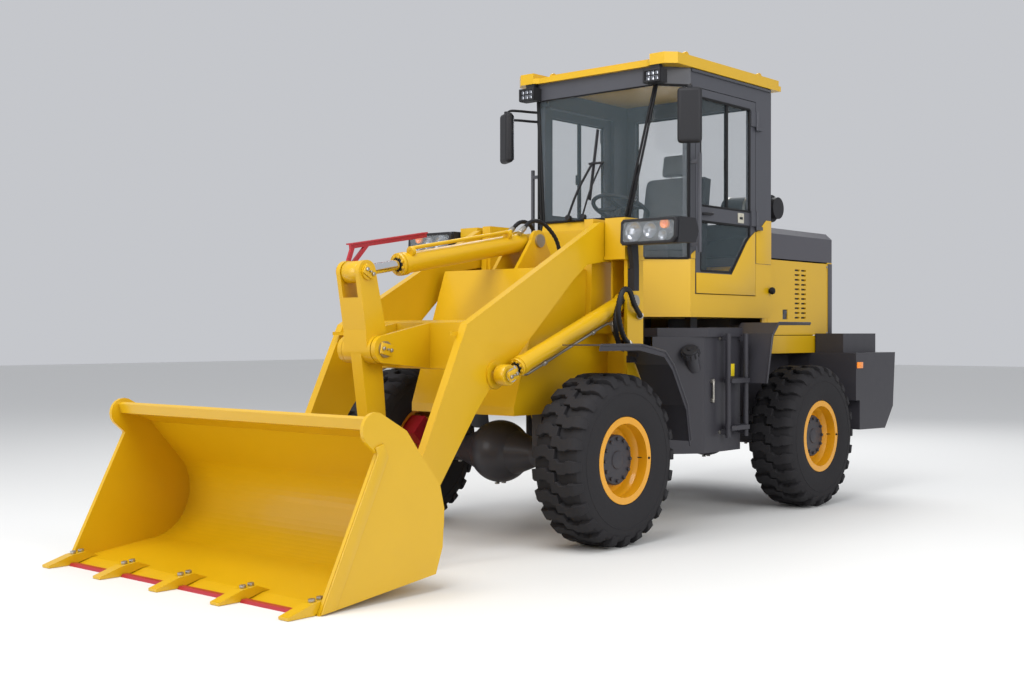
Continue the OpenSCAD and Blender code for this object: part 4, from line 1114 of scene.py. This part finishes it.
    def build(self) -> None:
        """Adds every lamp's parts."""
        for hand, sign in HANDS.items():
            self.headlamp(hand, sign)
        self.work_lamps()
        self.rear_lamps()


@dataclass
class Cab:
    """Window seals, the wiper, door skins, latches, quarter panels, drip rails, buffers and mirrors."""

    half: float = 620.0
    front_x: float = PIVOT_MM + 335
    corner_x: float = PIVOT_MM + 30
    rear_x: float = PIVOT_MM - 975
    door_front: float = PIVOT_MM - 28
    door_rear: float = PIVOT_MM - 765
    nose_z: float = 1905.0
    belt_z: float = 1650.0
    header_z: float = 2740.0
    mirror_w: float = 150.0
    mirror_turn: float = 30.0

    def screen(self, u: float, v: float, out: float = 0.0) -> Point:
        """A point on the windscreen.

        Args:
            u: Across, -1 at the right edge and 1 at the left edge.
            v: Up, 0 at the foot and 1 at the top.
            out: Distance in front of the glass in mm.

        Returns:
            The point in the row frame.
        """
        foot_x, head_x, foot_z = self.front_x - 15, PIVOT_MM + 205, self.nose_z + 3
        x = foot_x + v * (head_x - foot_x) + out * 0.99
        z = foot_z + v * (self.header_z - foot_z) + out * 0.14
        return at(x, u * (330 + 140 * v), z)

    def seals(self) -> None:
        """Rubber beads round the windscreen, the corner panes and the rear pane."""
        rings = [[self.screen(u, v, 2) for u, v in ((-1, 0.0), (1, 0.0), (1, 1.0), (-1, 1.0), (-1, 0.0))]]
        foot, top, sill = self.nose_z + 3, self.header_z - 2, self.belt_z + 4
        corner = ((self.front_x - 18, 354, foot), (PIVOT_MM + 201, 484, top), (self.corner_x + 9, 610, top),
                  (self.corner_x + 9, 610, sill), (self.front_x - 8, 355, sill),
                  (self.front_x - 18, 354, foot))
        rings += [handed(corner, sign) for sign in HANDS.values()]
        rear = ((-488, 1714), (488, 1714), (488, 2736), (-488, 2736), (-488, 1714))
        rings.append([at(self.rear_x + 8, y, z) for y, z in rear])
        parts = [bead for ring in rings for bead in Shop.beads(ring, 0.008, 12)]
        Shop.dress(Shop.join("window_seals", parts), Paint.RUBBER, "rear")

    def wiper(self) -> None:
        """One large wiper on two parallel arms, its upright blade near the middle of the windscreen."""
        low, high, clip, spare = (0.12, 0.15), (0.14, 0.70), (0.12, 0.43), (0.32, 0.43)
        parts = []
        for foot, end, radius in (((-0.34, 0.02), clip, 0.008), ((0.02, 0.02), spare, 0.006)):
            parts.append(Shop.rod("hub", self.screen(*foot, 6), self.screen(*foot, 36), 0.019, 20, 0.003))
            middle = ((foot[0] + end[0]) / 2, (foot[1] + end[1]) / 2)
            arm = [self.screen(*foot, 31), self.screen(*middle, 40), self.screen(*end, 27)]
            parts.append(Shop.tube("arm", Shop.smooth_path(arm, 6), radius))
        for kind, start, end, radius, sides, bevel in (
                ("tie", (0.06, 0.43, 27), (0.36, 0.43, 27), 0.008, 12, 0.002),
                ("blade", (*low, 9), (*high, 9), 0.007, 8, 0.001),
                ("spine", (*low, 20), (*high, 20), 0.006, 8, 0.001),
                ("clip", (*clip, 8), (*clip, 30), 0.011, 12, 0.002)):
            parts.append(Shop.rod(kind, self.screen(*start), self.screen(*end), radius, sides, bevel))
        Shop.dress(Shop.join("wiper", parts), Paint.PLASTIC, "rear")

    def door(self, hand: str, sign: float) -> None:
        """Yellow lower skin, divider, seals, latch plate and pull of one door.

        Args:
            hand: "left" or "right".
            sign: 1 for the left side, -1 for the right.
        """
        body = f"door_{hand}"
        f, r = self.door_front - 5, self.door_rear + 5
        skin = ((f, 1436), (f, 1566), (r + 302, 1566), (r + 112, 1786), (r + 70, 1822), (r, 1866), (r, 1436))
        sheet = Shop.plate(f"door_skin_{hand}", skin, sign, self.half, self.half + 6, 0.003)
        Shop.dress(sheet, Paint.YELLOW, body)
        bars = [Shop.box("divider", at(f - 392, sign * 597, 1994), at(f - 366, sign * 617, 2681), 0.003),
                Shop.box("catch", at(f - 368, sign * 609, 2240), at(f - 352, sign * 622, 2310), 0.004)]
        edge, back = f - 55, r + 65
        upper = ((edge, 1995), (edge, 2680), (back, 2680), (back, 1995), (edge, 1995))
        lower = ((edge, 1580), (edge, 1895), (back, 1895), (back, 1830), (r + 105, 1800), (r + 295, 1580),
                 (edge, 1580))
        for pane in (upper, lower):
            bars += Shop.beads([at(x, sign * 615, z) for x, z in pane], 0.009, 10)
        Shop.dress(Shop.join(f"door_seals_{hand}", bars), Paint.RUBBER, body)
        plate = Shop.box("plate", at(f - 578, sign * 618, 1912), at(f - 506, sign * 625, 1978), 0.002)
        lock = Shop.rod("lock", at(f - 542, sign * 624, 1966), at(f - 542, sign * 630, 1966), 0.007, 20,
                        0.001)
        Shop.dress(Shop.join(f"door_latch_{hand}", [plate, lock]), Paint.LATCH, body)
        slot = Shop.box("slot", at(f - 560, sign * 624, 1936), at(f - 522, sign * 628, 1952), 0.0015)
        grip = ((f - 168, 620, 1946), (f - 160, 644, 1946), (f - 118, 652, 1944), (f - 76, 644, 1942),
                (f - 68, 620, 1942))
        pull = Shop.tube("pull", Shop.smooth_path(handed(grip, sign), 6), 0.009)
        Shop.dress(Shop.join(f"door_pull_{hand}", [slot, pull]), Paint.PLASTIC, body)

    def panels(self) -> None:
        """Yellow quarter panels behind the doors and at the front posts, drip rails and door buffers."""
        back, front, post = self.rear_x + 2, self.door_front + 8, self.corner_x - 3
        edge = self.door_rear - 8
        quarter = ((back, 1652), (edge, 1652), (edge, 1864), (self.door_rear - 70, 1896),
                   (self.rear_x + 70, 1950), (back, 1950))
        corner = ((front, 1652), (post, 1652), (post, 1676), (front, 1706))
        parts = [Shop.plate("panel", points, sign, self.half, self.half + 5, 0.002)
                 for sign in HANDS.values() for points in (quarter, corner)]
        Shop.dress(Shop.join("cab_quarter_panels", parts), Paint.YELLOW, "rear")
        rails = [Shop.box("rail", at(self.rear_x + 20, sign * 619, 2828),
                          at(self.corner_x, sign * 634, 2846), 0.004)
                 for sign in HANDS.values()]
        Shop.dress(Shop.join("drip_rails", rails), Paint.BLACK, "rear")
        ball = [(0, 0), (0.014, 0), (0.014, 0.006), (0.022, 0.010), (0.026, 0.022), (0.021, 0.035),
                (0.010, 0.041), (0, 0.042)]
        stops = [Shop.lathe("buffer", ball, at(self.rear_x + 18, sign * 619, 1472), (0, sign, 0), 24)
                 for sign in HANDS.values()]
        Shop.dress(Shop.join("door_buffers", stops), Paint.RUBBER, "rear")

    def mirrors(self) -> None:
        """Rounded mirror housings on bent tubes, in place of the plain ones."""
        x, y = self.front_x - 110, 740.0
        half, rim = self.mirror_w * MM / 2, 0.013
        housings, panes = [], []
        for sign in HANDS.values():
            shell = Shop.box("shell", (-0.028, -half, 2.345), (0.030, half, 2.685), 0.0)
            soft = shell.modifiers.new("round", "BEVEL")
            soft.width, soft.segments = 0.024, 5
            bpy.ops.object.modifier_apply(modifier=soft.name)
            bpy.ops.object.shade_smooth_by_angle(angle=math.radians(50))
            pane = Shop.box("pane", (-0.032, rim - half, 2.362), (-0.027, half - rim, 2.668), 0.002)
            turn = Matrix.Rotation(sign * math.radians(self.mirror_turn), 4, "Z")
            for piece in (shell, pane):
                piece.data.transform(Matrix.Translation(at(x, sign * y, 0)) @ turn)
            panes.append(pane)
            for z, dx in ((2704, 0), (2640, -14)):
                loop = ((self.corner_x - 15, 618, z), (self.corner_x + 40, 650, z), (x - 70, 700, z + 3),
                        (x - 24 + dx, 730, z), (x + dx, y + dx, z - 24))
                housings.append(Shop.tube("arm", Shop.smooth_path(handed(loop, sign), 8), 0.009))
            foot = Shop.box("foot", at(self.corner_x - 32, sign * 619, 2616),
                            at(self.corner_x + 4, sign * 630, 2728), 0.004)
            hub = Shop.rod("hub", at(x, sign * y, 2678), at(x, sign * y, 2698), 0.018, 20, 0.003)
            housings += [shell, foot, hub]
        shells = Shop.dress(Shop.join("mirror_housings", housings), Paint.PLASTIC, "rear")
        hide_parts("mirrors")
        Shop.dress(Shop.join("mirror_panes", panes), Paint.SILVER, "rear")

    def build(self) -> None:
        """Adds the cab's fittings."""
        self.seals()
        self.wiper()
        for hand, sign in HANDS.items():
            self.door(hand, sign)
        self.panels()
        self.mirrors()


@dataclass
class Interior:
    """Padded seat, levers and pedals seen through the glass."""

    seat_x: float = PIVOT_MM - 520
    floor_z: float = 1285.0

    def cushion(self, name: str, low: Point, high: Point, lean: float) -> None:
        """A soft pad with a rounded crown.

        Args:
            name: The pad's name.
            low: Lowest corner.
            high: Highest corner.
            lean: Turn about the cross axis in degrees.
        """
        Shop.clear()
        middle = Vector([(a + b) / 2 for a, b in zip(low, high)])
        bpy.ops.mesh.primitive_cube_add(size=1, location=(0, 0, 0))
        pad = bpy.context.object
        pad.scale = [b - a for a, b in zip(low, high)]
        bpy.ops.object.transform_apply(scale=True)
        bpy.ops.object.mode_set(mode="EDIT")
        bpy.ops.mesh.select_all(action="SELECT")
        bpy.ops.mesh.subdivide(number_cuts=5)
        bpy.ops.object.mode_set(mode="OBJECT")
        size = Vector(high) - Vector(low)
        thin = min(range(3), key=lambda i: size[i])
        wide = [i for i in range(3) if i != thin]
        for vertex in pad.data.vertices:
            u, v = (2 * vertex.co[i] / size[i] for i in wide)
            crown = 0.34 * max(abs(u), abs(v)) ** 4
            tuft = 0.06 * math.cos(math.pi * u) * (1 - v * v)
            vertex.co[thin] *= 1.0 - crown - tuft
            for i in wide:
                vertex.co[i] *= 1.0 - 0.05 * (2 * abs(vertex.co[thin]) / size[thin]) ** 2
        soft = pad.modifiers.new("soft", "SUBSURF")
        soft.levels = 2
        bpy.ops.object.modifier_apply(modifier=soft.name)
        pad.location = middle
        pad.rotation_euler = (0, math.radians(lean), 0)
        Shop.settle(name, angle=60)
        Shop.dress(pad, Paint.VINYL, "rear")

    def levers(self) -> None:
        """Three levers with knobs and boots beside the seat, and the posts of the head rest."""
        x, z = self.seat_x, self.floor_z
        ball = [(0, -0.03), (0.012, -0.028), (0.02, -0.008), (0.021, 0.012), (0.014, 0.028), (0, 0.032)]
        sleeve = [(0.055, 0), (0.05, 0.012), (0.042, 0.014), (0.044, 0.024), (0.03, 0.03), (0.012, 0.06),
                  (0, 0.06), (0, 0)]
        parts = []
        for dx, y, h in ((190, -330, 560), (120, -330, 540), (190, -385, 545)):
            foot = at(x + dx, y, z + 36)
            path = Shop.smooth_path([foot, at(x + dx + 10, y, z + 300), at(x + dx - 20, y, z + h)], 6)
            parts += [Shop.tube("lever", path, 0.008),
                      Shop.lathe("knob", ball, at(x + dx - 22, y, z + h + 20), (-0.1, 0, 1), 20),
                      Shop.lathe("boot", sleeve, foot, (0, 0, 1), 24)]
        parts += [Shop.rod("post", at(x - 256, y, z + 950), at(x - 252, y, z + 1020), 0.007, 16, 0.001)
                  for y in (-60, 60)]
        Shop.dress(Shop.join("levers", parts), Paint.PLASTIC, "rear")

    def pedals(self) -> None:
        """Two pedals on the cab's floor."""
        x, z = PIVOT_MM, self.floor_z
        tread = ((x + 20, z + 60), (x + 110, z + 170), (x + 120, z + 162), (x + 30, z + 50))
        parts = [Shop.plate("pedal", tread, 1.0, y - 40, y + 40, 0.003) for y in (-150, 150)]
        Shop.dress(Shop.join("pedals", parts), Paint.STEEL, "rear")

    def build(self) -> None:
        """Adds the pads, the levers and the pedals."""
        x, z = self.seat_x, self.floor_z
        self.cushion("seat_cushion", at(x - 215, -232, z + 446), at(x + 240, 232, z + 530), 3)
        self.cushion("seat_back", at(x - 200, -222, z + 540), at(x - 118, 222, z + 985), -10.3)
        self.cushion("head_rest", at(x - 288, -120, z + 1000), at(x - 216, 120, z + 1150), -10.3)
        self.levers()
        self.pedals()


@dataclass
class Hood:
    """Edge strips, seams, door screens, pulls and bolts, radiator core, air cleaner bands and exhaust."""

    half: float = 550.0
    front_x: float = -2110.0
    rear_x: float = -3140.0
    low_z: float = 1040.0
    hinge_z: float = 1702.0

    def skins(self) -> None:
        """Grey strips at the rear corners, dark seams on the hood's top and a lip at its rear."""
        x, low, high = self.rear_x, self.low_z + 4, self.hinge_z - 4
        strip = ((x + 1, low), (x + 62, low), (x + 62, high), (x + 1, high))
        parts = [Shop.plate("strip", strip, sign, self.half, self.half + 4, 0.0015)
                 for sign in HANDS.values()]
        Shop.dress(Shop.join("hood_rear_strips", parts), Paint.PALE, "rear")
        seams = [Shop.box("seam", at(x + 30, sign * 300 - 6, 1949),
                          at(self.front_x - 10, sign * 300 + 6, 1953), 0.001)
                 for sign in HANDS.values()]
        seams.append(Shop.box("lip", at(x - 4, -520, 1712), at(x + 6, 520, 1728), 0.003))
        Shop.dress(Shop.join("hood_seams", seams), Paint.BLACK, "rear")

    def doors(self) -> None:
        """Vent screens, recessed pulls and corner bolts of the engine doors."""
        z0 = self.low_z + 129
        flap = ((-2460, z0 + 150), (-2410, z0 + 150), (-2412, z0 + 172), (-2458, z0 + 172))
        corners = ((-3060, z0 + 14), (-2190, z0 + 14), (-2190, 1674), (-3060, 1674))
        for hand, sign in HANDS.items():
            body = f"engine_door_{hand}"
            mesh = Shop.box("mesh", at(-2750, sign * 512, 1290), at(-2560, sign * 534, 1648), 0.002)
            cup = Shop.box("cup", at(-2469, sign * 541, z0 + 111), at(-2401, sign * 544, z0 + 179), 0.001)
            tongue = Shop.plate("tongue", flap, sign, 543.5, 551.5, 0.002)
            Shop.dress(Shop.join(f"engine_door_trim_{hand}", [mesh, cup, tongue]), Paint.BLACK, body)
            heads = [at(x, sign * (self.half - 0.5), z) for x, z in corners]
            bolts = Shop.bolts(f"engine_door_bolts_{hand}", heads, (0, sign, 0), 0.010, 0.006)
            Shop.dress(bolts, Paint.STEEL, body)

    def radiator(self) -> None:
        """The finned core behind the rear grille."""
        x = self.rear_x + 22
        core = [Shop.box("core", at(x + 4, -410, 1160), at(x + 34, 410, 1630), 0.002)]
        core += [Shop.box("fin", at(x, y - 3, 1162), at(x + 8, y + 3, 1628), 0.001)
                 for y in range(-396, 400, 24)]
        Shop.dress(Shop.join("radiator_core", core), Paint.BLACK, "rear")

    def stack(self) -> None:
        """Bands on the air cleaner, and a short exhaust pipe with its collar."""
        hoop = [(0.0955, -0.01), (0.099, -0.01), (0.099, 0.01), (0.0955, 0.01)]
        rings = [Shop.lathe("band", hoop, at(-2250, y, 2052), (0, 1, 0), 48) for y in (225, 380, 520)]
        Shop.dress(Shop.join("air_cleaner_bands", rings), Paint.STEEL, "rear")
        wall = [(0.030, 0.0), (0.036, 0.0), (0.036, 0.20), (0.040, 0.215), (0.034, 0.215), (0.030, 0.2)]
        flange = [(0.037, 0.0), (0.062, 0.0), (0.060, 0.012), (0.042, 0.02), (0.037, 0.02)]
        parts = [Shop.lathe("pipe", wall, at(-2500, -300, 1938), (0, 0, 1), 32),
                 Shop.lathe("collar", flange, at(-2500, -300, 1943), (0, 0, 1), 32)]
        Shop.dress(Shop.join("exhaust", parts), Paint.STEEL, "rear")

    def build(self) -> None:
        """Adds the hood's fittings."""
        self.skins()
        self.doors()
        self.radiator()
        self.stack()


@dataclass
class Sides:
    """Tank caps, gauges and a blank plate, step grips, ladder bolts and fender lips."""

    half: float = 720.0
    step_z: float = 1215.0
    neck: float = 0.1505
    ribs: int = 12

    def caps(self) -> None:
        """Ribbed filler caps on the leaning necks of the tanks."""
        tip, swing = math.radians(40), math.radians(20)
        lid = [(0, 0), (0.052, 0), (0.052, 0.004), (0.046, 0.010), (0.02, 0.012), (0.016, 0.02), (0, 0.021)]
        parts = []
        for sign in HANDS.values():
            axis = Vector((math.sin(tip) * math.cos(swing), sign * math.sin(tip) * math.sin(swing),
                           math.cos(tip)))
            top = Vector(at(PIVOT_MM + 55, sign * (self.half - 60), 960)) + axis * self.neck
            parts.append(Shop.lathe("cap", lid, tuple(top), tuple(axis), 32))
            side = axis.cross(Vector((0, 1, 0))).normalized()
            other = axis.cross(side)
            for i in range(self.ribs):
                a = math.tau * i / self.ribs
                foot = top + (side * math.cos(a) + other * math.sin(a)) * 0.0545 - axis * 0.036
                parts.append(Shop.rod("rib", tuple(foot), tuple(foot + axis * 0.034), 0.006, 8, 0.001))
        Shop.dress(Shop.join("tank_caps", parts), Paint.PLASTIC, "rear")

    def gauges(self) -> None:
        """Sight gauges and drain plugs of the tanks, and a blank plate beside the left ladder."""
        x, low, high = PIVOT_MM - 60, 760, 880
        parts = []
        for sign in HANDS.values():
            parts += [Shop.rod("port", at(x, sign * 718, z), at(x, sign * 738, z), 0.016, 6, 0.002)
                      for z in (low, high)]
            parts.append(Shop.rod("tube", at(x, sign * 733, low), at(x, sign * 733, high), 0.008, 16, 0.002))
            drain = at(PIVOT_MM - 250, sign * 600, 430), at(PIVOT_MM - 250, sign * 600, 416)
            parts.append(Shop.rod("drain", *drain, 0.02, 6, 0.002))
        Shop.dress(Shop.join("tank_gauges", parts), Paint.STEEL, "rear")
        plate = Shop.box("tank_plate", at(PIVOT_MM - 330, 719.5, 905), at(PIVOT_MM - 265, 722.5, 985), 0.0008)
        Shop.dress(plate, Paint.PLATE, "rear")

    def treads(self) -> None:
        """Rows of grip bars on the platforms, teeth on the ladder rungs and bolts on the ladders."""
        bars = []
        for sign in HANDS.values():
            for i in range(13):
                x = PIVOT_MM - 20 - i * 28
                bars.append(Shop.box("grip", at(x - 5, sign * 655, self.step_z - 1),
                                     at(x + 5, sign * 730, self.step_z + 4), 0.0015))
            for z in (580, 880):
                for i in range(8):
                    x = PIVOT_MM - 192 - i * 24
                    bars.append(Shop.box("tooth", at(x - 4, sign * 748, z + 13),
                                         at(x + 4, sign * 798, z + 18), 0.0015))
        Shop.dress(Shop.join("step_grips", bars), Paint.GREY, "rear")
        heads = []
        for sign in HANDS.values():
            spots = [at(PIVOT_MM - dx, sign * self.half, z) for dx in (150, 405) for z in (554, 1149)]
            heads.append(Shop.bolts("ladder_bolts", spots, (0, sign, 0), 0.012, 0.009))
        Shop.dress(Shop.join("ladder_bolts", heads), Paint.STEEL, "rear")

    def fenders(self) -> None:
        """Rolled lips along the outer edges of the front and rear fenders."""
        front = ((240, 1118), (-130, 1118), (-370, 1078), (-460, 998), (-605, 760), (-643, 552))
        rear = ((REAR_MM + 713, 862), (REAR_MM + 638, 1178), (REAR_MM + 558, 1250), (REAR_MM + 132, 1250))
        for name, points, y, body in (
                ("front_fender_lips", front, 925, "front"), ("rear_fender_lips", rear, 905, "rear")):
            lips = []
            for sign in HANDS.values():
                lips += Shop.beads([at(x, sign * y, z) for x, z in points], 0.007, 12)
            Shop.dress(Shop.join(name, lips), Paint.GREY, body)

    def build(self) -> None:
        """Adds the fittings of the machine's sides."""
        self.caps()
        self.gauges()
        self.treads()
        self.fenders()


@dataclass
class Waist:
    """Hoses across the steering joint, and the plugs of both axles."""

    radius: float = 0.0145
    middle_z: float = 722.0

    def hoses(self, linkage: Linkage) -> None:
        """Four guarded hoses in a shallow bow from the rear frame to the front frame.

        Args:
            linkage: Makes the hoses and their fittings.
        """
        reach, spread = (-195, -190, -120, 40, 250, 392), (80, 84, 90, 97, 88, 80)
        bow = {1: (223, 196, 178, 174, 178, 184), -1: (223, 165, 125, 115, 125, 150)}
        for k, (y, up) in enumerate(((-1, 1), (1, 1), (-1, -1), (1, -1))):
            run = [at(PIVOT_MM + dx, y * dy, self.middle_z + up * dz)
                   for dx, dy, dz in zip(reach, spread, bow[up])]
            linkage.hose(f"waist_hose_{k + 1}", run, "rear", "front", self.radius)

    def plugs(self) -> None:
        """Drain and level plugs on both axles."""
        for name, x, body in (("front_axle_plugs", 0, "front"), ("rear_axle_plugs", REAR_MM, "rear")):
            spots = [at(x + dx, 0, AXLE_MM - 184) for dx in (30, -30)]
            drain = Shop.bolts("drain", spots, (0, 0, -1), 0.016, 0.010)
            spots = [at(x, sign * 330, AXLE_MM - 74) for sign in HANDS.values()]
            level = Shop.bolts("level", spots, (0, 0, -1), 0.013, 0.009)
            Shop.dress(Shop.join(name, [drain, level]), Paint.STEEL, body)

    def build(self) -> None:
        """Adds the fittings at the waist and under the axles."""
        self.hoses(Linkage())
        self.plugs()


def main() -> None:
    """Builds every sub-assembly in order."""
    logging.basicConfig(level=logging.INFO)
    for assembly in (
            Studio(), Painter(), Wheels(), BucketTrim(), Linkage(), Lamps(), Cab(), Interior(), Hood(),
            Sides(), Waist()):
        assembly.build()
        LOG.info("built %s", type(assembly).__name__)


if __name__ == "__main__":
    main()
